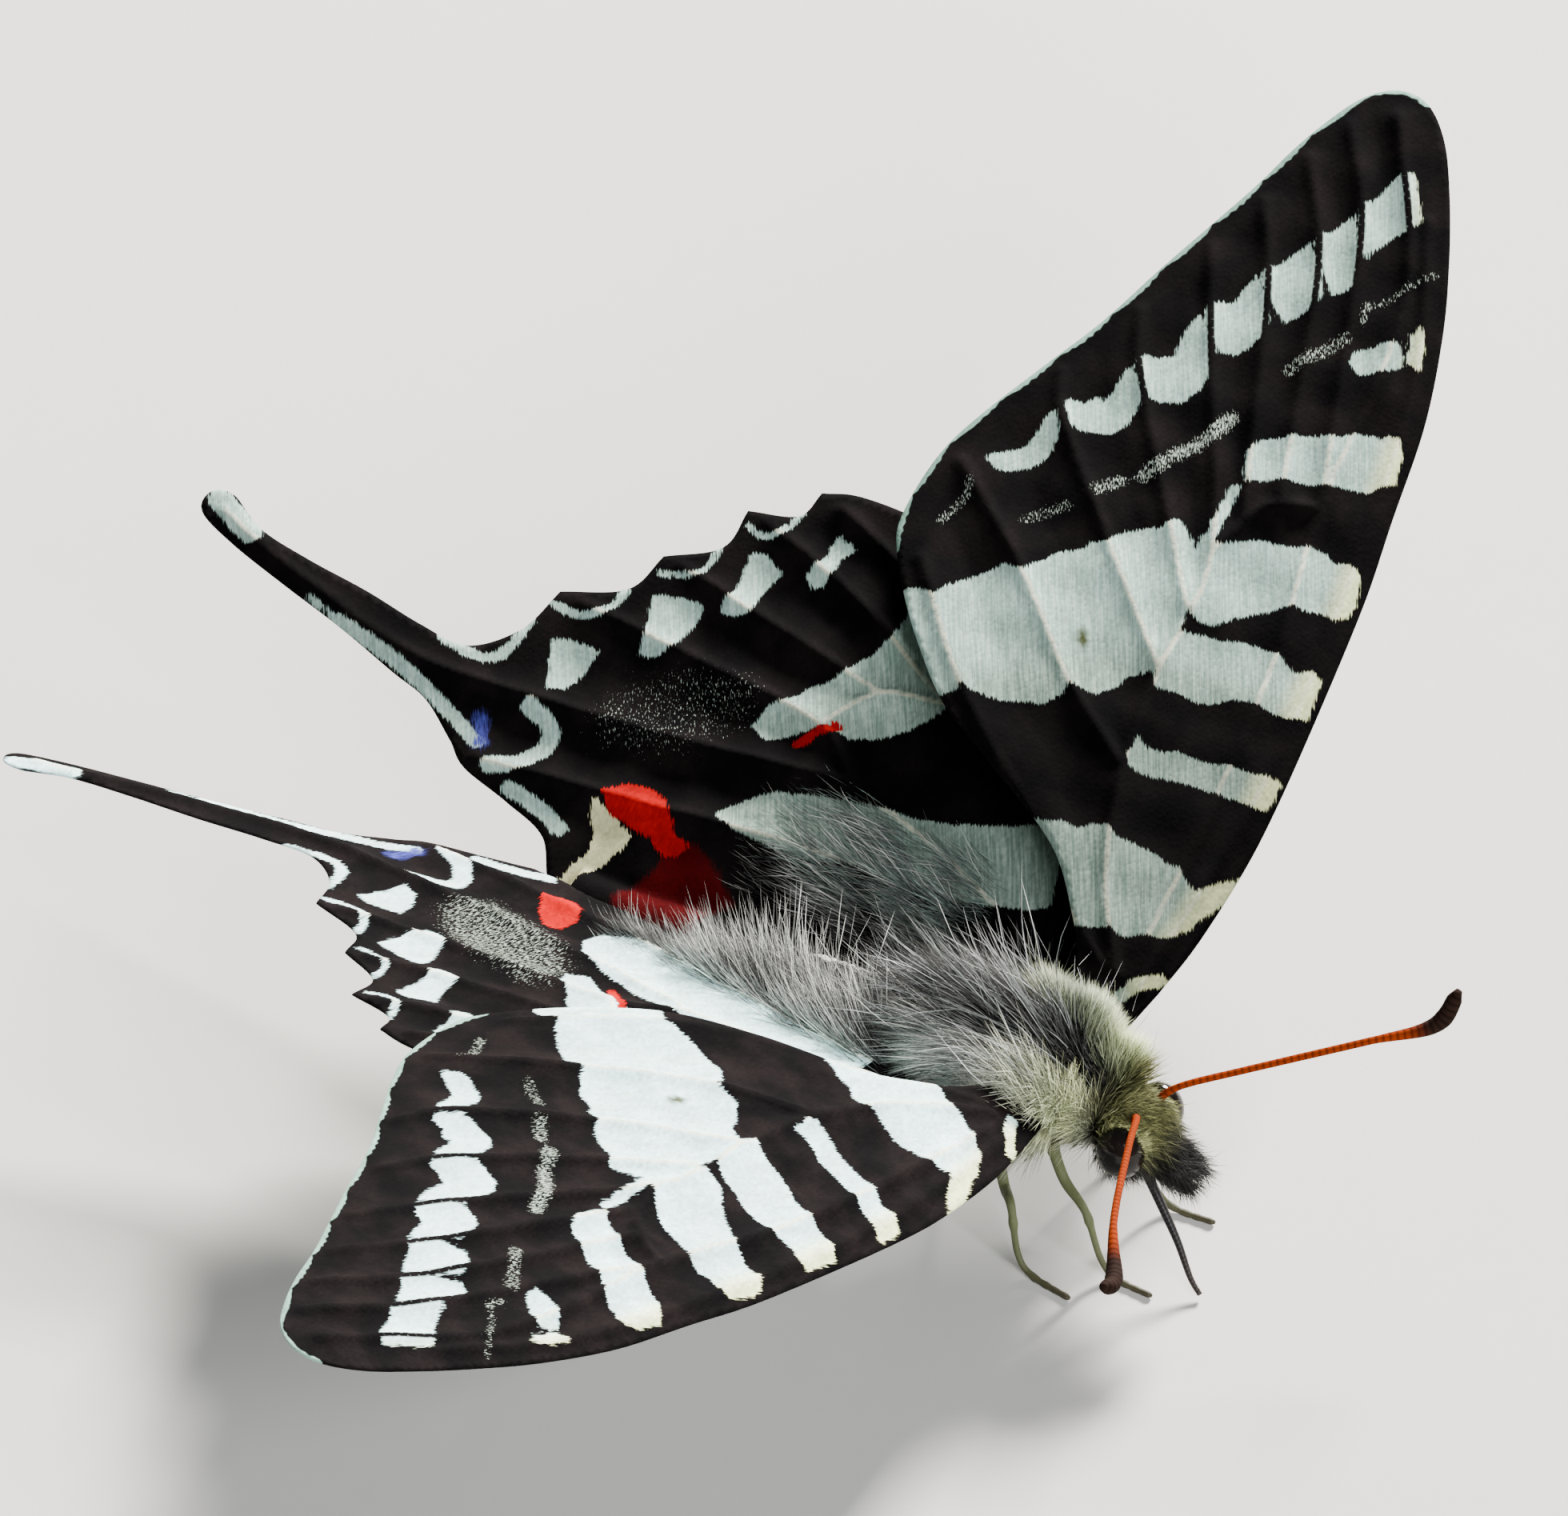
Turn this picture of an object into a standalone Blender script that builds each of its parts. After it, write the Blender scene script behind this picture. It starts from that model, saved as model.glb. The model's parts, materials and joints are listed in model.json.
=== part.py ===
"""Zebra swallowtail at life size, standing on the ground with its wings half raised.

The head looks along -Y, the left wings reach towards +X, and the feet stand on z = 0.
Body lengths are in millimetres, measured from the point midway between the forewing roots.
Wing lengths are in millimetres along the wing's own plane: u out from the hinge, v forward.
"""
import math
import random

import bmesh
import bpy
from mathutils import Vector
from mathutils.geometry import delaunay_2d_cdt

MM = 0.001
LEFT = 1
RIGHT = -1
SIDES = ((LEFT, "left"), (RIGHT, "right"))

# Height of the forewing roots over the floor, and how far they sit from the middle of the box
ROOT_HEIGHT = 6.7
BODY_SHIFT = -13.64
GAP = 0.3

# Thorax, a rounded block: middle, half sizes and roundness
THORAX_MID = Vector((0.0, 2.9, -1.1))
THORAX_HALF = Vector((2.9, 3.9, 2.8))
THORAX_ROUND = 2.5

# Long hair of the thorax: rows from the neck back, locks across a row, how much of the half turn
# from side to side a row spans, and the size of a lock
HAIR_ROWS = 7
HAIR_ACROSS = 11
HAIR_LENGTH = 4.2
HAIR_WIDTH = 1.45
HAIR_DEPTH = 0.52
HAIR_ROOT = 0.45
HAIR_WRAP = 0.7
HAIR_SEED = 7
# Shares of a lock's length at its stations, its height over the body there, and its width there
HAIR_BEND = ((0.0, -HAIR_ROOT), (0.16, 0.32), (0.45, 0.62), (0.76, 0.66), (1.0, 0.45))
HAIR_TAPER = (0.72, 1.0, 0.9, 0.6)
# Where the wings begin beside the thorax, and where the forewing's rear edge runs from there.
# Behind its front the hindwing reaches further in.
WING_SIDE = 2.6
HINDWING_SIDE = 1.4
HINDWING_FRONT = 5.5
FOREWING_REAR = 3.4
FOREWING_REAR_SLOPE = 1.2

# Head, eyes, palps and tongue
HEAD_MID = Vector((0.0, -2.55, -1.55))
HEAD_HALF = Vector((1.45, 1.25, 1.3))
EYE_MID = Vector((1.3, -2.8, -1.5))
EYE_HALF = Vector((0.72, 0.85, 0.95))
PALP_LENGTH = 1.15
PALP_RADIUS = 0.42
TONGUE_RADIUS = 0.27
TONGUE_PATH = (
    (0.0, -3.0, -3.15), (-0.15, -3.6, -4.1), (-0.6, -4.6, -5.2), (-1.1, -5.4, -6.1), (-1.3, -5.9, -6.5),
)

# Abdomen: spine from the thorax to the tip, and the fullness of each ring
ABDOMEN_SPINE = ((0.0, 7.1, -1.4), (0.0, 9.8, -1.6), (0.0, 13.5, -2.0), (0.0, 17.0, -2.2), (0.0, 19.2, -2.1))
ABDOMEN_RADIUS = 1.65
ABDOMEN_RINGS = 9
ABDOMEN_GROOVE = 0.06

# Antennae: shaft and club, with the path of each side because they are held apart
ANTENNA_RADIUS = 0.26
CLUB_RADIUS = 0.42
ANTENNA_LEFT = (
    (0.66, -3.2, -0.1), (1.0, -3.75, 0.35), (2.6, -5.4, 1.0), (5.3, -8.4, 1.5), (6.9, -10.1, 1.6), (7.7, -10.6, 2.4),
)
ANTENNA_RIGHT = (
    (-0.66, -3.2, -0.1), (-1.1, -3.6, 0.35), (-3.4, -4.7, 1.2), (-7.6, -6.6, 2.0), (-10.0, -8.0, 1.9),
    (-11.0, -8.0, 2.4),
)

# Legs on the left: hip on the thorax, knee, ankle, and the two ends of the foot on the floor.
# The thigh starts under the hip, at a share of the way out to the knee.
LEG_RADIUS = {"hip": 0.36, "thigh": 0.38, "knee": 0.34, "ankle": 0.3, "heel": 0.27, "toe": 0.25}
HIP_DROP = 0.5
HIP_REACH = 0.35
FOOT_SINK = 0.08
LEGS = {
    "front": ((0.8, 0.1), (1.7, -1.7, -4.4), (1.9, -2.4, -6.0), (2.0, -3.1), (2.1, -4.5)),
    "middle": ((1.3, 1.9), (2.7, 0.6, -4.3), (3.1, 0.1, -6.0), (3.3, -0.6), (3.6, -2.2)),
    "hind": ((1.2, 3.9), (3.3, 6.2, -4.2), (4.7, 10.6, -5.9), (5.0, 11.8), (5.4, 13.5)),
}

# Wing membrane and the ridge of a vein
WING_THICKNESS = 0.5
VEIN_HEIGHT = 0.16
VEIN_HALF_WIDTH = 0.34
VEIN_STEP = 2.6
FILL_STEP = 3.0
MARGIN_CLEAR = 0.5

# Forewing: hinge, set of the plane, crown of its surface, outline and veins
FOREWING = {
    "hinge": (3.3, 0.0, 0.2),
    "dihedral": 15.8,
    "nose_down": 13.5,
    "chord": 13.0,
    "crown": 0.75,
    "root": (0.6, -1.5),
    "outline": (
        ((1.2, 0.9), (3.5, 1.1), (6.6, 1.1), (9.2, 0.9), (13.0, 0.4), (17.5, -0.3), (20.7, -1.0), (24.4, -1.8),
         (27.6, -2.9), (30.0, -4.0), (32.2, -5.2), (34.0, -6.4), (35.0, -7.6), (35.0, -8.7), (34.2, -9.6),
         (32.9, -10.2), (31.3, -10.7), (29.5, -11.1), (27.4, -11.7), (25.0, -12.4), (22.4, -13.1), (20.0, -14.0),
         (17.6, -14.9), (15.8, -15.4), (14.0, -15.5), (12.3, -15.3), (11.3, -14.8)),
        ((11.3, -14.8), (10.2, -14.0), (8.6, -12.6), (6.6, -10.6), (4.6, -8.0), (2.6, -5.0), (1.0, -2.6)),
    ),
    "veins": (
        ((0.9, 0.3), (10.0, 0.1), (19.0, -1.3), (26.0, -3.0), (31.0, -5.4)),
        ((0.9, -0.2), (8.0, -0.9), (14.0, -1.8), (19.6, -3.2), (28.0, -4.6), (34.0, -8.2)),
        ((19.6, -3.2), (29.2, -7.0), (33.0, -9.5)),
        ((19.6, -3.2), (18.6, -4.8), (16.2, -5.5)),
        ((18.9, -4.4), (27.5, -7.7), (31.2, -10.1)),
        ((17.8, -5.2), (25.6, -8.6), (29.0, -10.6)),
        ((0.9, -0.7), (3.9, -2.7), (7.5, -4.1), (11.1, -4.8), (16.2, -5.5), (23.3, -9.5), (26.6, -11.3)),
        ((13.9, -5.2), (20.7, -10.7), (23.3, -12.2)),
        ((11.4, -4.9), (14.4, -8.3), (18.2, -12.3), (20.0, -13.4)),
        ((7.5, -4.1), (9.3, -7.1), (12.4, -10.7), (15.4, -14.7)),
        ((0.9, -1.2), (2.4, -3.6), (4.4, -6.2), (7.6, -10.4), (11.4, -14.0)),
    ),
}

# Hindwing: as the forewing, with a rise behind the hinge, scallops and a tail
HINDWING = {
    "hinge": (3.3, 3.0, -0.15),
    "dihedral": 20.0,
    "nose_down": 0.0,
    "chord": 12.0,
    "crown": 0.9,
    "root": (0.3, -2.4),
    "outline": (
        ((1.6, 0.7), (4.5, 0.3), (8.0, -1.5), (11.0, -4.5), (12.8, -8.0), (13.3, -11.5), (13.3, -14.0), (12.9, -15.3)),
        ((12.9, -15.3), (11.8, -15.6), (11.3, -17.3)),
        ((11.3, -17.3), (9.7, -17.4), (8.6, -19.1)),
        ((8.6, -19.1), (7.0, -19.6), (6.0, -21.7)),
        ((6.0, -21.7), (4.2, -22.2), (2.9, -23.6), (3.0, -25.5), (3.4, -27.8), (3.7, -30.3), (4.1, -32.4),
         (4.9, -33.9), (4.7, -34.7), (3.9, -34.6), (3.2, -33.0), (2.5, -30.6), (1.8, -28.0), (1.0, -25.5), (0.5, -23.9),
         (-0.6, -22.3)),
        ((-0.6, -22.3), (-1.5, -21.4), (-2.3, -19.2), (-2.2, -16.5), (-1.7, -14.0), (-1.3, -11.0), (-0.9, -7.5),
         (-0.4, -4.2)),
    ),
    "veins": (
        ((0.9, 0.0), (5.0, -1.6), (9.5, -7.0), (12.6, -14.3)),
        ((5.0, -1.6), (7.4, -7.4), (9.6, -12.0), (11.2, -16.6)),
        ((7.4, -7.4), (6.8, -9.6), (4.9, -10.9)),
        ((6.8, -9.6), (7.6, -14.0), (8.5, -18.4)),
        ((0.9, -1.0), (2.4, -5.0), (3.4, -8.6), (4.9, -10.9), (5.4, -15.5), (5.9, -20.9)),
        ((3.4, -8.6), (2.6, -14.0), (2.0, -20.0), (1.8, -25.0), (2.9, -30.0), (4.2, -33.8)),
        ((0.5, -2.0), (0.6, -8.0), (-0.2, -15.0), (-0.9, -21.3)),
    ),
}

# Each hindwing is pulled a little differently under its forewing: out and forward, in mm
HINDWING_SLIDE = {LEFT: (0.45, -0.4), RIGHT: (-0.45, 0.4)}

COLOURS = {
    "body_black": ((0.035, 0.032, 0.03), 0.75),
    "body_hair": ((0.32, 0.33, 0.31), 0.8),
    "eye_black": ((0.012, 0.011, 0.012), 0.2),
    "antenna_rust": ((0.42, 0.09, 0.035), 0.5),
    "leg_straw": ((0.42, 0.44, 0.3), 0.6),
    "wing_pied": ((0.3, 0.32, 0.31), 0.7),
}


def clear_scene():
    """Removes whatever the scene holds."""
    for thing in list(bpy.data.objects):
        bpy.data.objects.remove(thing, do_unlink=True)


def make_material(name):
    """Principled material of one named colour."""
    colour, roughness = COLOURS[name]
    material = bpy.data.materials.new(name)
    material.use_nodes = True
    shader = material.node_tree.nodes["Principled BSDF"]
    shader.inputs["Base Color"].default_value = (*colour, 1.0)
    shader.inputs["Roughness"].default_value = roughness
    shader.inputs["Metallic"].default_value = 0.0
    return material


def to_world(point):
    """Turns body millimetres into metres over the floor."""
    return Vector((point[0], point[1] + BODY_SHIFT, point[2] + ROOT_HEIGHT)) * MM


def add_solid(name, points, faces, material):
    """Makes one mesh object from body points and faces."""
    mesh = bpy.data.meshes.new(name)
    mesh.from_pydata([to_world(p) for p in points], [], faces)
    work = bmesh.new()
    work.from_mesh(mesh)
    bmesh.ops.recalc_face_normals(work, faces=work.faces)
    bmesh.ops.triangulate(work, faces=work.faces)
    work.to_mesh(mesh)
    work.free()
    mesh.materials.append(material)
    mesh.shade_smooth()
    mesh.set_sharp_from_angle(angle=math.radians(50))
    solid = bpy.data.objects.new(name, mesh)
    bpy.context.collection.objects.link(solid)
    return solid


def curve_through(points, steps):
    """Smooth curve through points, with a number of steps on each span."""
    points = [Vector(p) for p in points]
    ends = [2 * points[0] - points[1]] + points + [2 * points[-1] - points[-2]]
    smooth = []
    for i in range(len(points) - 1):
        a, b, c, d = ends[i:i + 4]
        for j in range(steps):
            t = j / steps
            smooth.append(0.5 * (2 * b + (c - a) * t + (2 * a - 5 * b + 4 * c - d) * t * t
                                 + (3 * b - a - 3 * c + d) * t * t * t))
    smooth.append(points[-1])
    return smooth


def rings_along(path, radii, sides, floor=None):
    """Points and faces of a closed round tube; what would reach under the floor is flattened on it."""
    points = []
    faces = []
    across = None
    for i, centre in enumerate(path):
        along = (path[min(i + 1, len(path) - 1)] - path[max(i - 1, 0)]).normalized()
        if across is None:
            across = along.cross(Vector((0, 0, 1)) if abs(along.z) < 0.9 else Vector((0, 1, 0)))
        across = (across - along * across.dot(along)).normalized()
        lift = along.cross(across)
        radius = radii(i / (len(path) - 1))
        for k in range(sides):
            turn = 2 * math.pi * k / sides
            spot = centre + (across * math.cos(turn) + lift * math.sin(turn)) * radius
            if floor is not None:
                spot.z = max(spot.z, floor)
            points.append(spot)
    for i in range(len(path) - 1):
        for k in range(sides):
            near = i * sides + k
            side = i * sides + (k + 1) % sides
            faces.append((near, side, side + sides, near + sides))
    faces.append(tuple(reversed(range(sides))))
    faces.append(tuple(range(len(points) - sides, len(points))))
    return points, faces


def block_half_width(back, up):
    """Half the width of the thorax at a place along and over it."""
    n = THORAX_ROUND
    along = abs((back - THORAX_MID.y) / THORAX_HALF.y) ** n
    over = abs((up - THORAX_MID.z) / THORAX_HALF.z) ** n
    return THORAX_HALF.x * max(0.0, 1.0 - along - over) ** (1.0 / n)


def block_underside(across, back):
    """Height of the lower face of the thorax."""
    n = THORAX_ROUND
    out = abs(across / THORAX_HALF.x) ** n
    along = abs((back - THORAX_MID.y) / THORAX_HALF.y) ** n
    return THORAX_MID.z - THORAX_HALF.z * max(0.0, 1.0 - out - along) ** (1.0 / n)


def rounded_block(middle, half, roundness, turns, rings):
    """Points and faces of a rounded block whose poles lie on its long axis."""
    points = [Vector((middle.x, middle.y - half.y, middle.z))]
    power = 2.0 / roundness
    for i in range(1, rings):
        tilt = math.pi * i / rings
        along = -math.copysign(abs(math.cos(tilt)) ** power, math.cos(tilt))
        girth = math.sin(tilt) ** power
        for k in range(turns):
            turn = 2 * math.pi * k / turns
            out = math.copysign(abs(math.cos(turn)) ** power, math.cos(turn))
            up = math.copysign(abs(math.sin(turn)) ** power, math.sin(turn))
            points.append(middle + Vector((half.x * girth * out, half.y * along, half.z * girth * up)))
    points.append(Vector((middle.x, middle.y + half.y, middle.z)))
    faces = [(0, 1 + (k + 1) % turns, 1 + k) for k in range(turns)]
    for i in range(rings - 2):
        for k in range(turns):
            a = 1 + i * turns + k
            b = 1 + i * turns + (k + 1) % turns
            faces.append((a, b, b + turns, a + turns))
    last = len(points) - 1
    faces += [(last, last - turns + k, last - turns + (k + 1) % turns) for k in range(turns)]
    return points, faces


def cut_with(solid, cutters):
    """Cuts balls out of a solid, then removes them."""
    for cutter in cutters:
        cut = solid.modifiers.new("socket", "BOOLEAN")
        cut.operation = "DIFFERENCE"
        cut.solver = "EXACT"
        cut.object = cutter
    depsgraph = bpy.context.evaluated_depsgraph_get()
    mesh = bpy.data.meshes.new_from_object(solid.evaluated_get(depsgraph))
    solid.modifiers.clear()
    solid.data = mesh
    for cutter in cutters:
        bpy.data.objects.remove(cutter, do_unlink=True)


def wing_top(wing, bow, across, back):
    """Height of a wing's upper face over a place beside the thorax."""
    rise = math.radians(wing["dihedral"])
    pitch = math.radians(wing["nose_down"])
    v = (wing["hinge"][1] - back) / math.cos(pitch)
    u = (across - wing["hinge"][0] - math.sin(pitch) * math.sin(rise) * v) / math.cos(rise)
    middle = math.sin(rise) * u + math.cos(rise) * (math.cos(pitch) * bow(wing, v) - math.sin(pitch) * v)
    return wing["hinge"][2] + middle + WING_THICKNESS / 2 + VEIN_HEIGHT


def lock_floor(across, back):
    """Lowest height that a lock may have at a place, clear of the wings and the abdomen."""
    low = -math.inf
    if across > HINDWING_SIDE and back > HINDWING_FRONT:
        low = max(low, wing_top(HINDWING, hindwing_bow, across, back))
    if across > WING_SIDE:
        low = max(low, wing_top(HINDWING, hindwing_bow, across, back))
        if back < FOREWING_REAR + FOREWING_REAR_SLOPE * (across - WING_SIDE):
            low = max(low, wing_top(FOREWING, forewing_bow, across, back))
    if back > ABDOMEN_SPINE[0][1] - GAP and across < ABDOMEN_RADIUS:
        low = max(low, ABDOMEN_SPINE[0][2] + math.sqrt(ABDOMEN_RADIUS ** 2 - across ** 2))
    return low + GAP + HAIR_DEPTH / 2


def lock_solid(name, root, normal, lie, length, width, material):
    """One flat lock that tapers and bends along the lie of the coat, or nothing where a wing is in its way."""
    path = [root + lie * (length * along) + normal * over for along, over in HAIR_BEND]
    tilt = 0.0
    for spot, (along, _) in zip(path[2:], HAIR_BEND[2:]):
        tilt = max(tilt, (lock_floor(abs(spot.x) + width / 3, spot.y) - spot.z) / along)
    for spot, (along, _) in zip(path, HAIR_BEND):
        spot.z += tilt * along
    points = []
    for i, size in enumerate(HAIR_TAPER):
        along = (path[i + 1] - path[max(i - 1, 0)]).normalized()
        across = along.cross(normal).normalized()
        over = across.cross(along)
        half = across * (width * size / 2)
        deep = over * (HAIR_DEPTH * min(1.0, size + 0.15) / 2)
        points += [path[i] + half, path[i] + deep, path[i] - half, path[i] - deep]
    points.append(path[-1])
    if any(p.z < lock_floor(abs(p.x), p.y) - GAP - 0.1 for p in points[4:]):
        return None
    faces = [(3, 2, 1, 0)]
    for i in range(len(HAIR_TAPER) - 1):
        for k in range(4):
            near = i * 4 + k
            side = i * 4 + (k + 1) % 4
            faces.append((near, side, side + 4, near + 4))
    last = len(points) - 1
    faces += [(last - 4 + k, last - 4 + (k + 1) % 4, last) for k in range(4)]
    return add_solid(name, points, faces, material)


def keep_largest(mesh):
    """Keeps only the largest closed surface of a mesh."""
    work = bmesh.new()
    work.from_mesh(mesh)
    left = set(work.verts)
    shells = []
    while left:
        shell = set()
        edge = [left.pop()]
        while edge:
            spot = edge.pop()
            shell.add(spot)
            for link in spot.link_edges:
                other = link.other_vert(spot)
                if other in left:
                    left.discard(other)
                    edge.append(other)
        shells.append(shell)
    shells.sort(key=len)
    for shell in shells[:-1]:
        bmesh.ops.delete(work, geom=list(shell), context="VERTS")
    bmesh.ops.triangulate(work, faces=work.faces)
    work.to_mesh(mesh)
    work.free()


def fuse(solid, pieces):
    """Joins pieces to a solid by one union, then removes them."""
    group = bpy.data.collections.new(solid.name + "_pieces")
    bpy.context.scene.collection.children.link(group)
    for piece in pieces:
        bpy.context.collection.objects.unlink(piece)
        group.objects.link(piece)
    join = solid.modifiers.new("fuse", "BOOLEAN")
    join.operation = "UNION"
    join.operand_type = "COLLECTION"
    join.solver = "MANIFOLD"
    join.collection = group
    depsgraph = bpy.context.evaluated_depsgraph_get()
    mesh = bpy.data.meshes.new_from_object(solid.evaluated_get(depsgraph))
    solid.modifiers.clear()
    solid.data = mesh
    keep_largest(mesh)
    for piece in list(group.objects):
        bpy.data.objects.remove(piece, do_unlink=True)
    bpy.data.collections.remove(group)


def thorax_hair(material):
    """Locks of the thorax in rows, lying back over the abdomen and out over the wing roots."""
    draw = random.Random(HAIR_SEED)
    power = 2.0 / THORAX_ROUND
    locks = []
    for row in range(HAIR_ROWS):
        tilt = math.pi * (0.16 + 0.64 * row / (HAIR_ROWS - 1))
        girth = math.sin(tilt) ** power
        along = -math.copysign(abs(math.cos(tilt)) ** power, math.cos(tilt))
        count = HAIR_ACROSS if row % 2 else HAIR_ACROSS - 1
        for k in range(count):
            turn = math.pi * (0.5 + HAIR_WRAP * ((k + 0.5) / count - 0.5)) + draw.uniform(-0.05, 0.05)
            out = math.copysign(abs(math.cos(turn)) ** power, math.cos(turn))
            up = abs(math.sin(turn)) ** power
            spread = Vector((out * girth, along, up * girth))
            root = THORAX_MID + Vector([c * h for c, h in zip(spread, THORAX_HALF)])
            steep = [math.copysign(abs(c) ** (THORAX_ROUND - 1) / h, c) for c, h in zip(spread, THORAX_HALF)]
            normal = Vector(steep).normalized()
            lie = Vector((0.5 * out + draw.uniform(-0.2, 0.2), 1.0, 0.1 + 0.1 * up))
            lie = (lie - normal * lie.dot(normal) * 0.85).normalized()
            length = HAIR_LENGTH * draw.uniform(0.8, 1.1) * (0.66 + 0.34 * row / (HAIR_ROWS - 1))
            width = HAIR_WIDTH * draw.uniform(0.8, 1.1)
            locks.append(lock_solid("lock_%d_%d" % (row, k), root, normal, lie, length, width, material))
    return [lock for lock in locks if lock]


def mirrored(point, side):
    """The point on the asked side."""
    return Vector((point[0] * side, point[1], point[2]))


def build_thorax(materials):
    """Thorax, one rounded block under its long hair."""
    points, faces = rounded_block(THORAX_MID, THORAX_HALF, THORAX_ROUND, 20, 14)
    thorax = add_solid("thorax", points, faces, materials["body_hair"])
    fuse(thorax, thorax_hair(materials["body_hair"]))


def build_head(materials):
    """Head with a socket for each eye, and the eyes in them."""
    points, faces = rounded_block(HEAD_MID, HEAD_HALF, 2.2, 20, 14)
    head = add_solid("head", points, faces, materials["body_hair"])
    sockets = []
    for side, name in SIDES:
        middle = mirrored(EYE_MID, side)
        points, faces = rounded_block(middle, EYE_HALF + Vector((GAP, GAP, GAP)), 2.0, 14, 10)
        sockets.append(add_solid("socket_" + name, points, faces, materials["body_black"]))
        points, faces = rounded_block(middle, EYE_HALF, 2.0, 14, 10)
        add_solid("eye_" + name, points, faces, materials["eye_black"])
    cut_with(head, sockets)


def build_palps(materials):
    """The two furry palps that stand up in front of the face."""
    for side, name in SIDES:
        root = Vector((0.48 * side, HEAD_MID.y - HEAD_HALF.y - GAP + 0.06, HEAD_MID.z - 0.3))
        path = curve_through((root, root + Vector((0, -0.5, -0.1)), root + Vector((0, -PALP_LENGTH, -0.25))), 3)
        points, faces = rings_along(path, lambda t: PALP_RADIUS * (1.0 - 0.65 * t ** 3), 10)
        add_solid("palp_" + name, points, faces, materials["body_hair"])


def build_tongue(materials):
    """The tongue, let down to the ground."""
    points, faces = rings_along(curve_through(TONGUE_PATH, 4), lambda t: TONGUE_RADIUS * (1.0 - 0.45 * t ** 4), 8)
    add_solid("proboscis", points, faces, materials["body_black"])


def build_abdomen(materials):
    """Abdomen with its rings, tapered to a blunt tip."""
    def radius(t):
        swell = math.sin(math.pi * min(1.0, 0.35 + 0.55 * t)) ** 0.5
        close = math.sqrt(max(0.05, 1.0 - max(0.0, (t - 0.86) / 0.14) ** 2))
        groove = ABDOMEN_GROOVE * (0.5 + 0.5 * math.cos(2 * math.pi * ABDOMEN_RINGS * t))
        return ABDOMEN_RADIUS * swell * close * (1.0 - groove)

    points, faces = rings_along(curve_through(ABDOMEN_SPINE, 7), radius, 12)
    add_solid("abdomen", points, faces, materials["body_black"])


def build_antennae(materials):
    """Antennae with a club that turns up at its end."""
    def radius(t):
        if t < 0.72:
            return ANTENNA_RADIUS
        swell = math.sin(math.pi * (t - 0.72) / 0.36)
        return ANTENNA_RADIUS + (CLUB_RADIUS - ANTENNA_RADIUS) * swell

    for name, path in (("left", ANTENNA_LEFT), ("right", ANTENNA_RIGHT)):
        points, faces = rings_along(curve_through(path, 5), radius, 8)
        add_solid("antenna_" + name, points, faces, materials["antenna_rust"])


def build_legs(materials):
    """Six legs, each from its hip on the thorax to a foot that lies flat on the floor."""
    stops = list(LEG_RADIUS.values())
    floor = -ROOT_HEIGHT

    def radius(t):
        place = t * (len(stops) - 1)
        i = min(int(place), len(stops) - 2)
        return stops[i] + (stops[i + 1] - stops[i]) * (place - i)

    for pair, (hip, knee, ankle, heel, toe) in LEGS.items():
        top = Vector((hip[0], hip[1], block_underside(*hip) - GAP - 0.12))
        thigh = top.lerp(Vector(knee), HIP_REACH)
        thigh.z = top.z - HIP_DROP
        heel_on = Vector((*heel, floor + LEG_RADIUS["heel"]))
        toe_on = Vector((*toe, floor + LEG_RADIUS["toe"] - FOOT_SINK))
        for side, name in SIDES:
            marks = [mirrored(p, side) for p in (top, thigh, knee, ankle, heel_on, toe_on)]
            points, faces = rings_along(curve_through(marks, 3), radius, 8, floor)
            add_solid("leg_" + pair + "_" + name, points, faces, materials["leg_straw"])


def wing_axes(wing, side):
    """Out, forward and upward directions of a wing."""
    rise = math.radians(wing["dihedral"])
    pitch = math.radians(wing["nose_down"])
    out = Vector((side * math.cos(rise), 0.0, math.sin(rise)))
    flat_up = Vector((-side * math.sin(rise), 0.0, math.cos(rise)))
    forward = Vector((0.0, -math.cos(pitch), 0.0)) - flat_up * math.sin(pitch)
    upward = Vector((0.0, -math.sin(pitch), 0.0)) + flat_up * math.cos(pitch)
    return out, forward, upward


def forewing_bow(wing, v):
    """Height of the crowned forewing over its plane."""
    t = -v / wing["chord"]
    return 4.0 * wing["crown"] * t * (1.0 - t)


def hindwing_bow(wing, v):
    """Height of the hindwing, which rises behind its hinge and runs level after it."""
    t = min(1.0, max(0.0, -v / wing["chord"]))
    return wing["crown"] * t * t * (3.0 - 2.0 * t)


def inside(point, outline):
    """Whether a flat point lies inside a closed outline."""
    hit = False
    for i, a in enumerate(outline):
        b = outline[i - 1]
        if (a.y > point.y) != (b.y > point.y):
            if point.x < a.x + (b.x - a.x) * (point.y - a.y) / (b.y - a.y):
                hit = not hit
    return hit


def reach_to(point, lines):
    """Distance from a flat point to the nearest of some broken lines."""
    best = math.inf
    for line in lines:
        for a, b in zip(line, line[1:]):
            span = b - a
            t = max(0.0, min(1.0, (point - a).dot(span) / max(span.length_squared, 1e-12)))
            best = min(best, (point - a - span * t).length)
    return best


def root_edge(wing, slide):
    """Inner edge of a wing, which follows the side of the thorax at the gap."""
    hinge = Vector(wing["hinge"])
    rise = math.radians(wing["dihedral"])
    front, rear = wing["root"]
    edge = []
    for i in range(4):
        v = rear + (front - rear) * i / 3
        low = hinge.z - WING_THICKNESS / 2 - VEIN_HEIGHT
        out = block_half_width(hinge.y - v - slide[1], low) + GAP + 0.05
        edge.append(Vector(((out - hinge.x) / math.cos(rise) - slide[0], v)))
    return edge


def wing_outline(wing, slide):
    """Closed flat outline of a wing."""
    outline = []
    for run in wing["outline"]:
        outline += curve_through(run, 2)[:-1]
    outline.append(Vector(wing["outline"][-1][-1]))
    return outline + root_edge(wing, slide)


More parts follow.
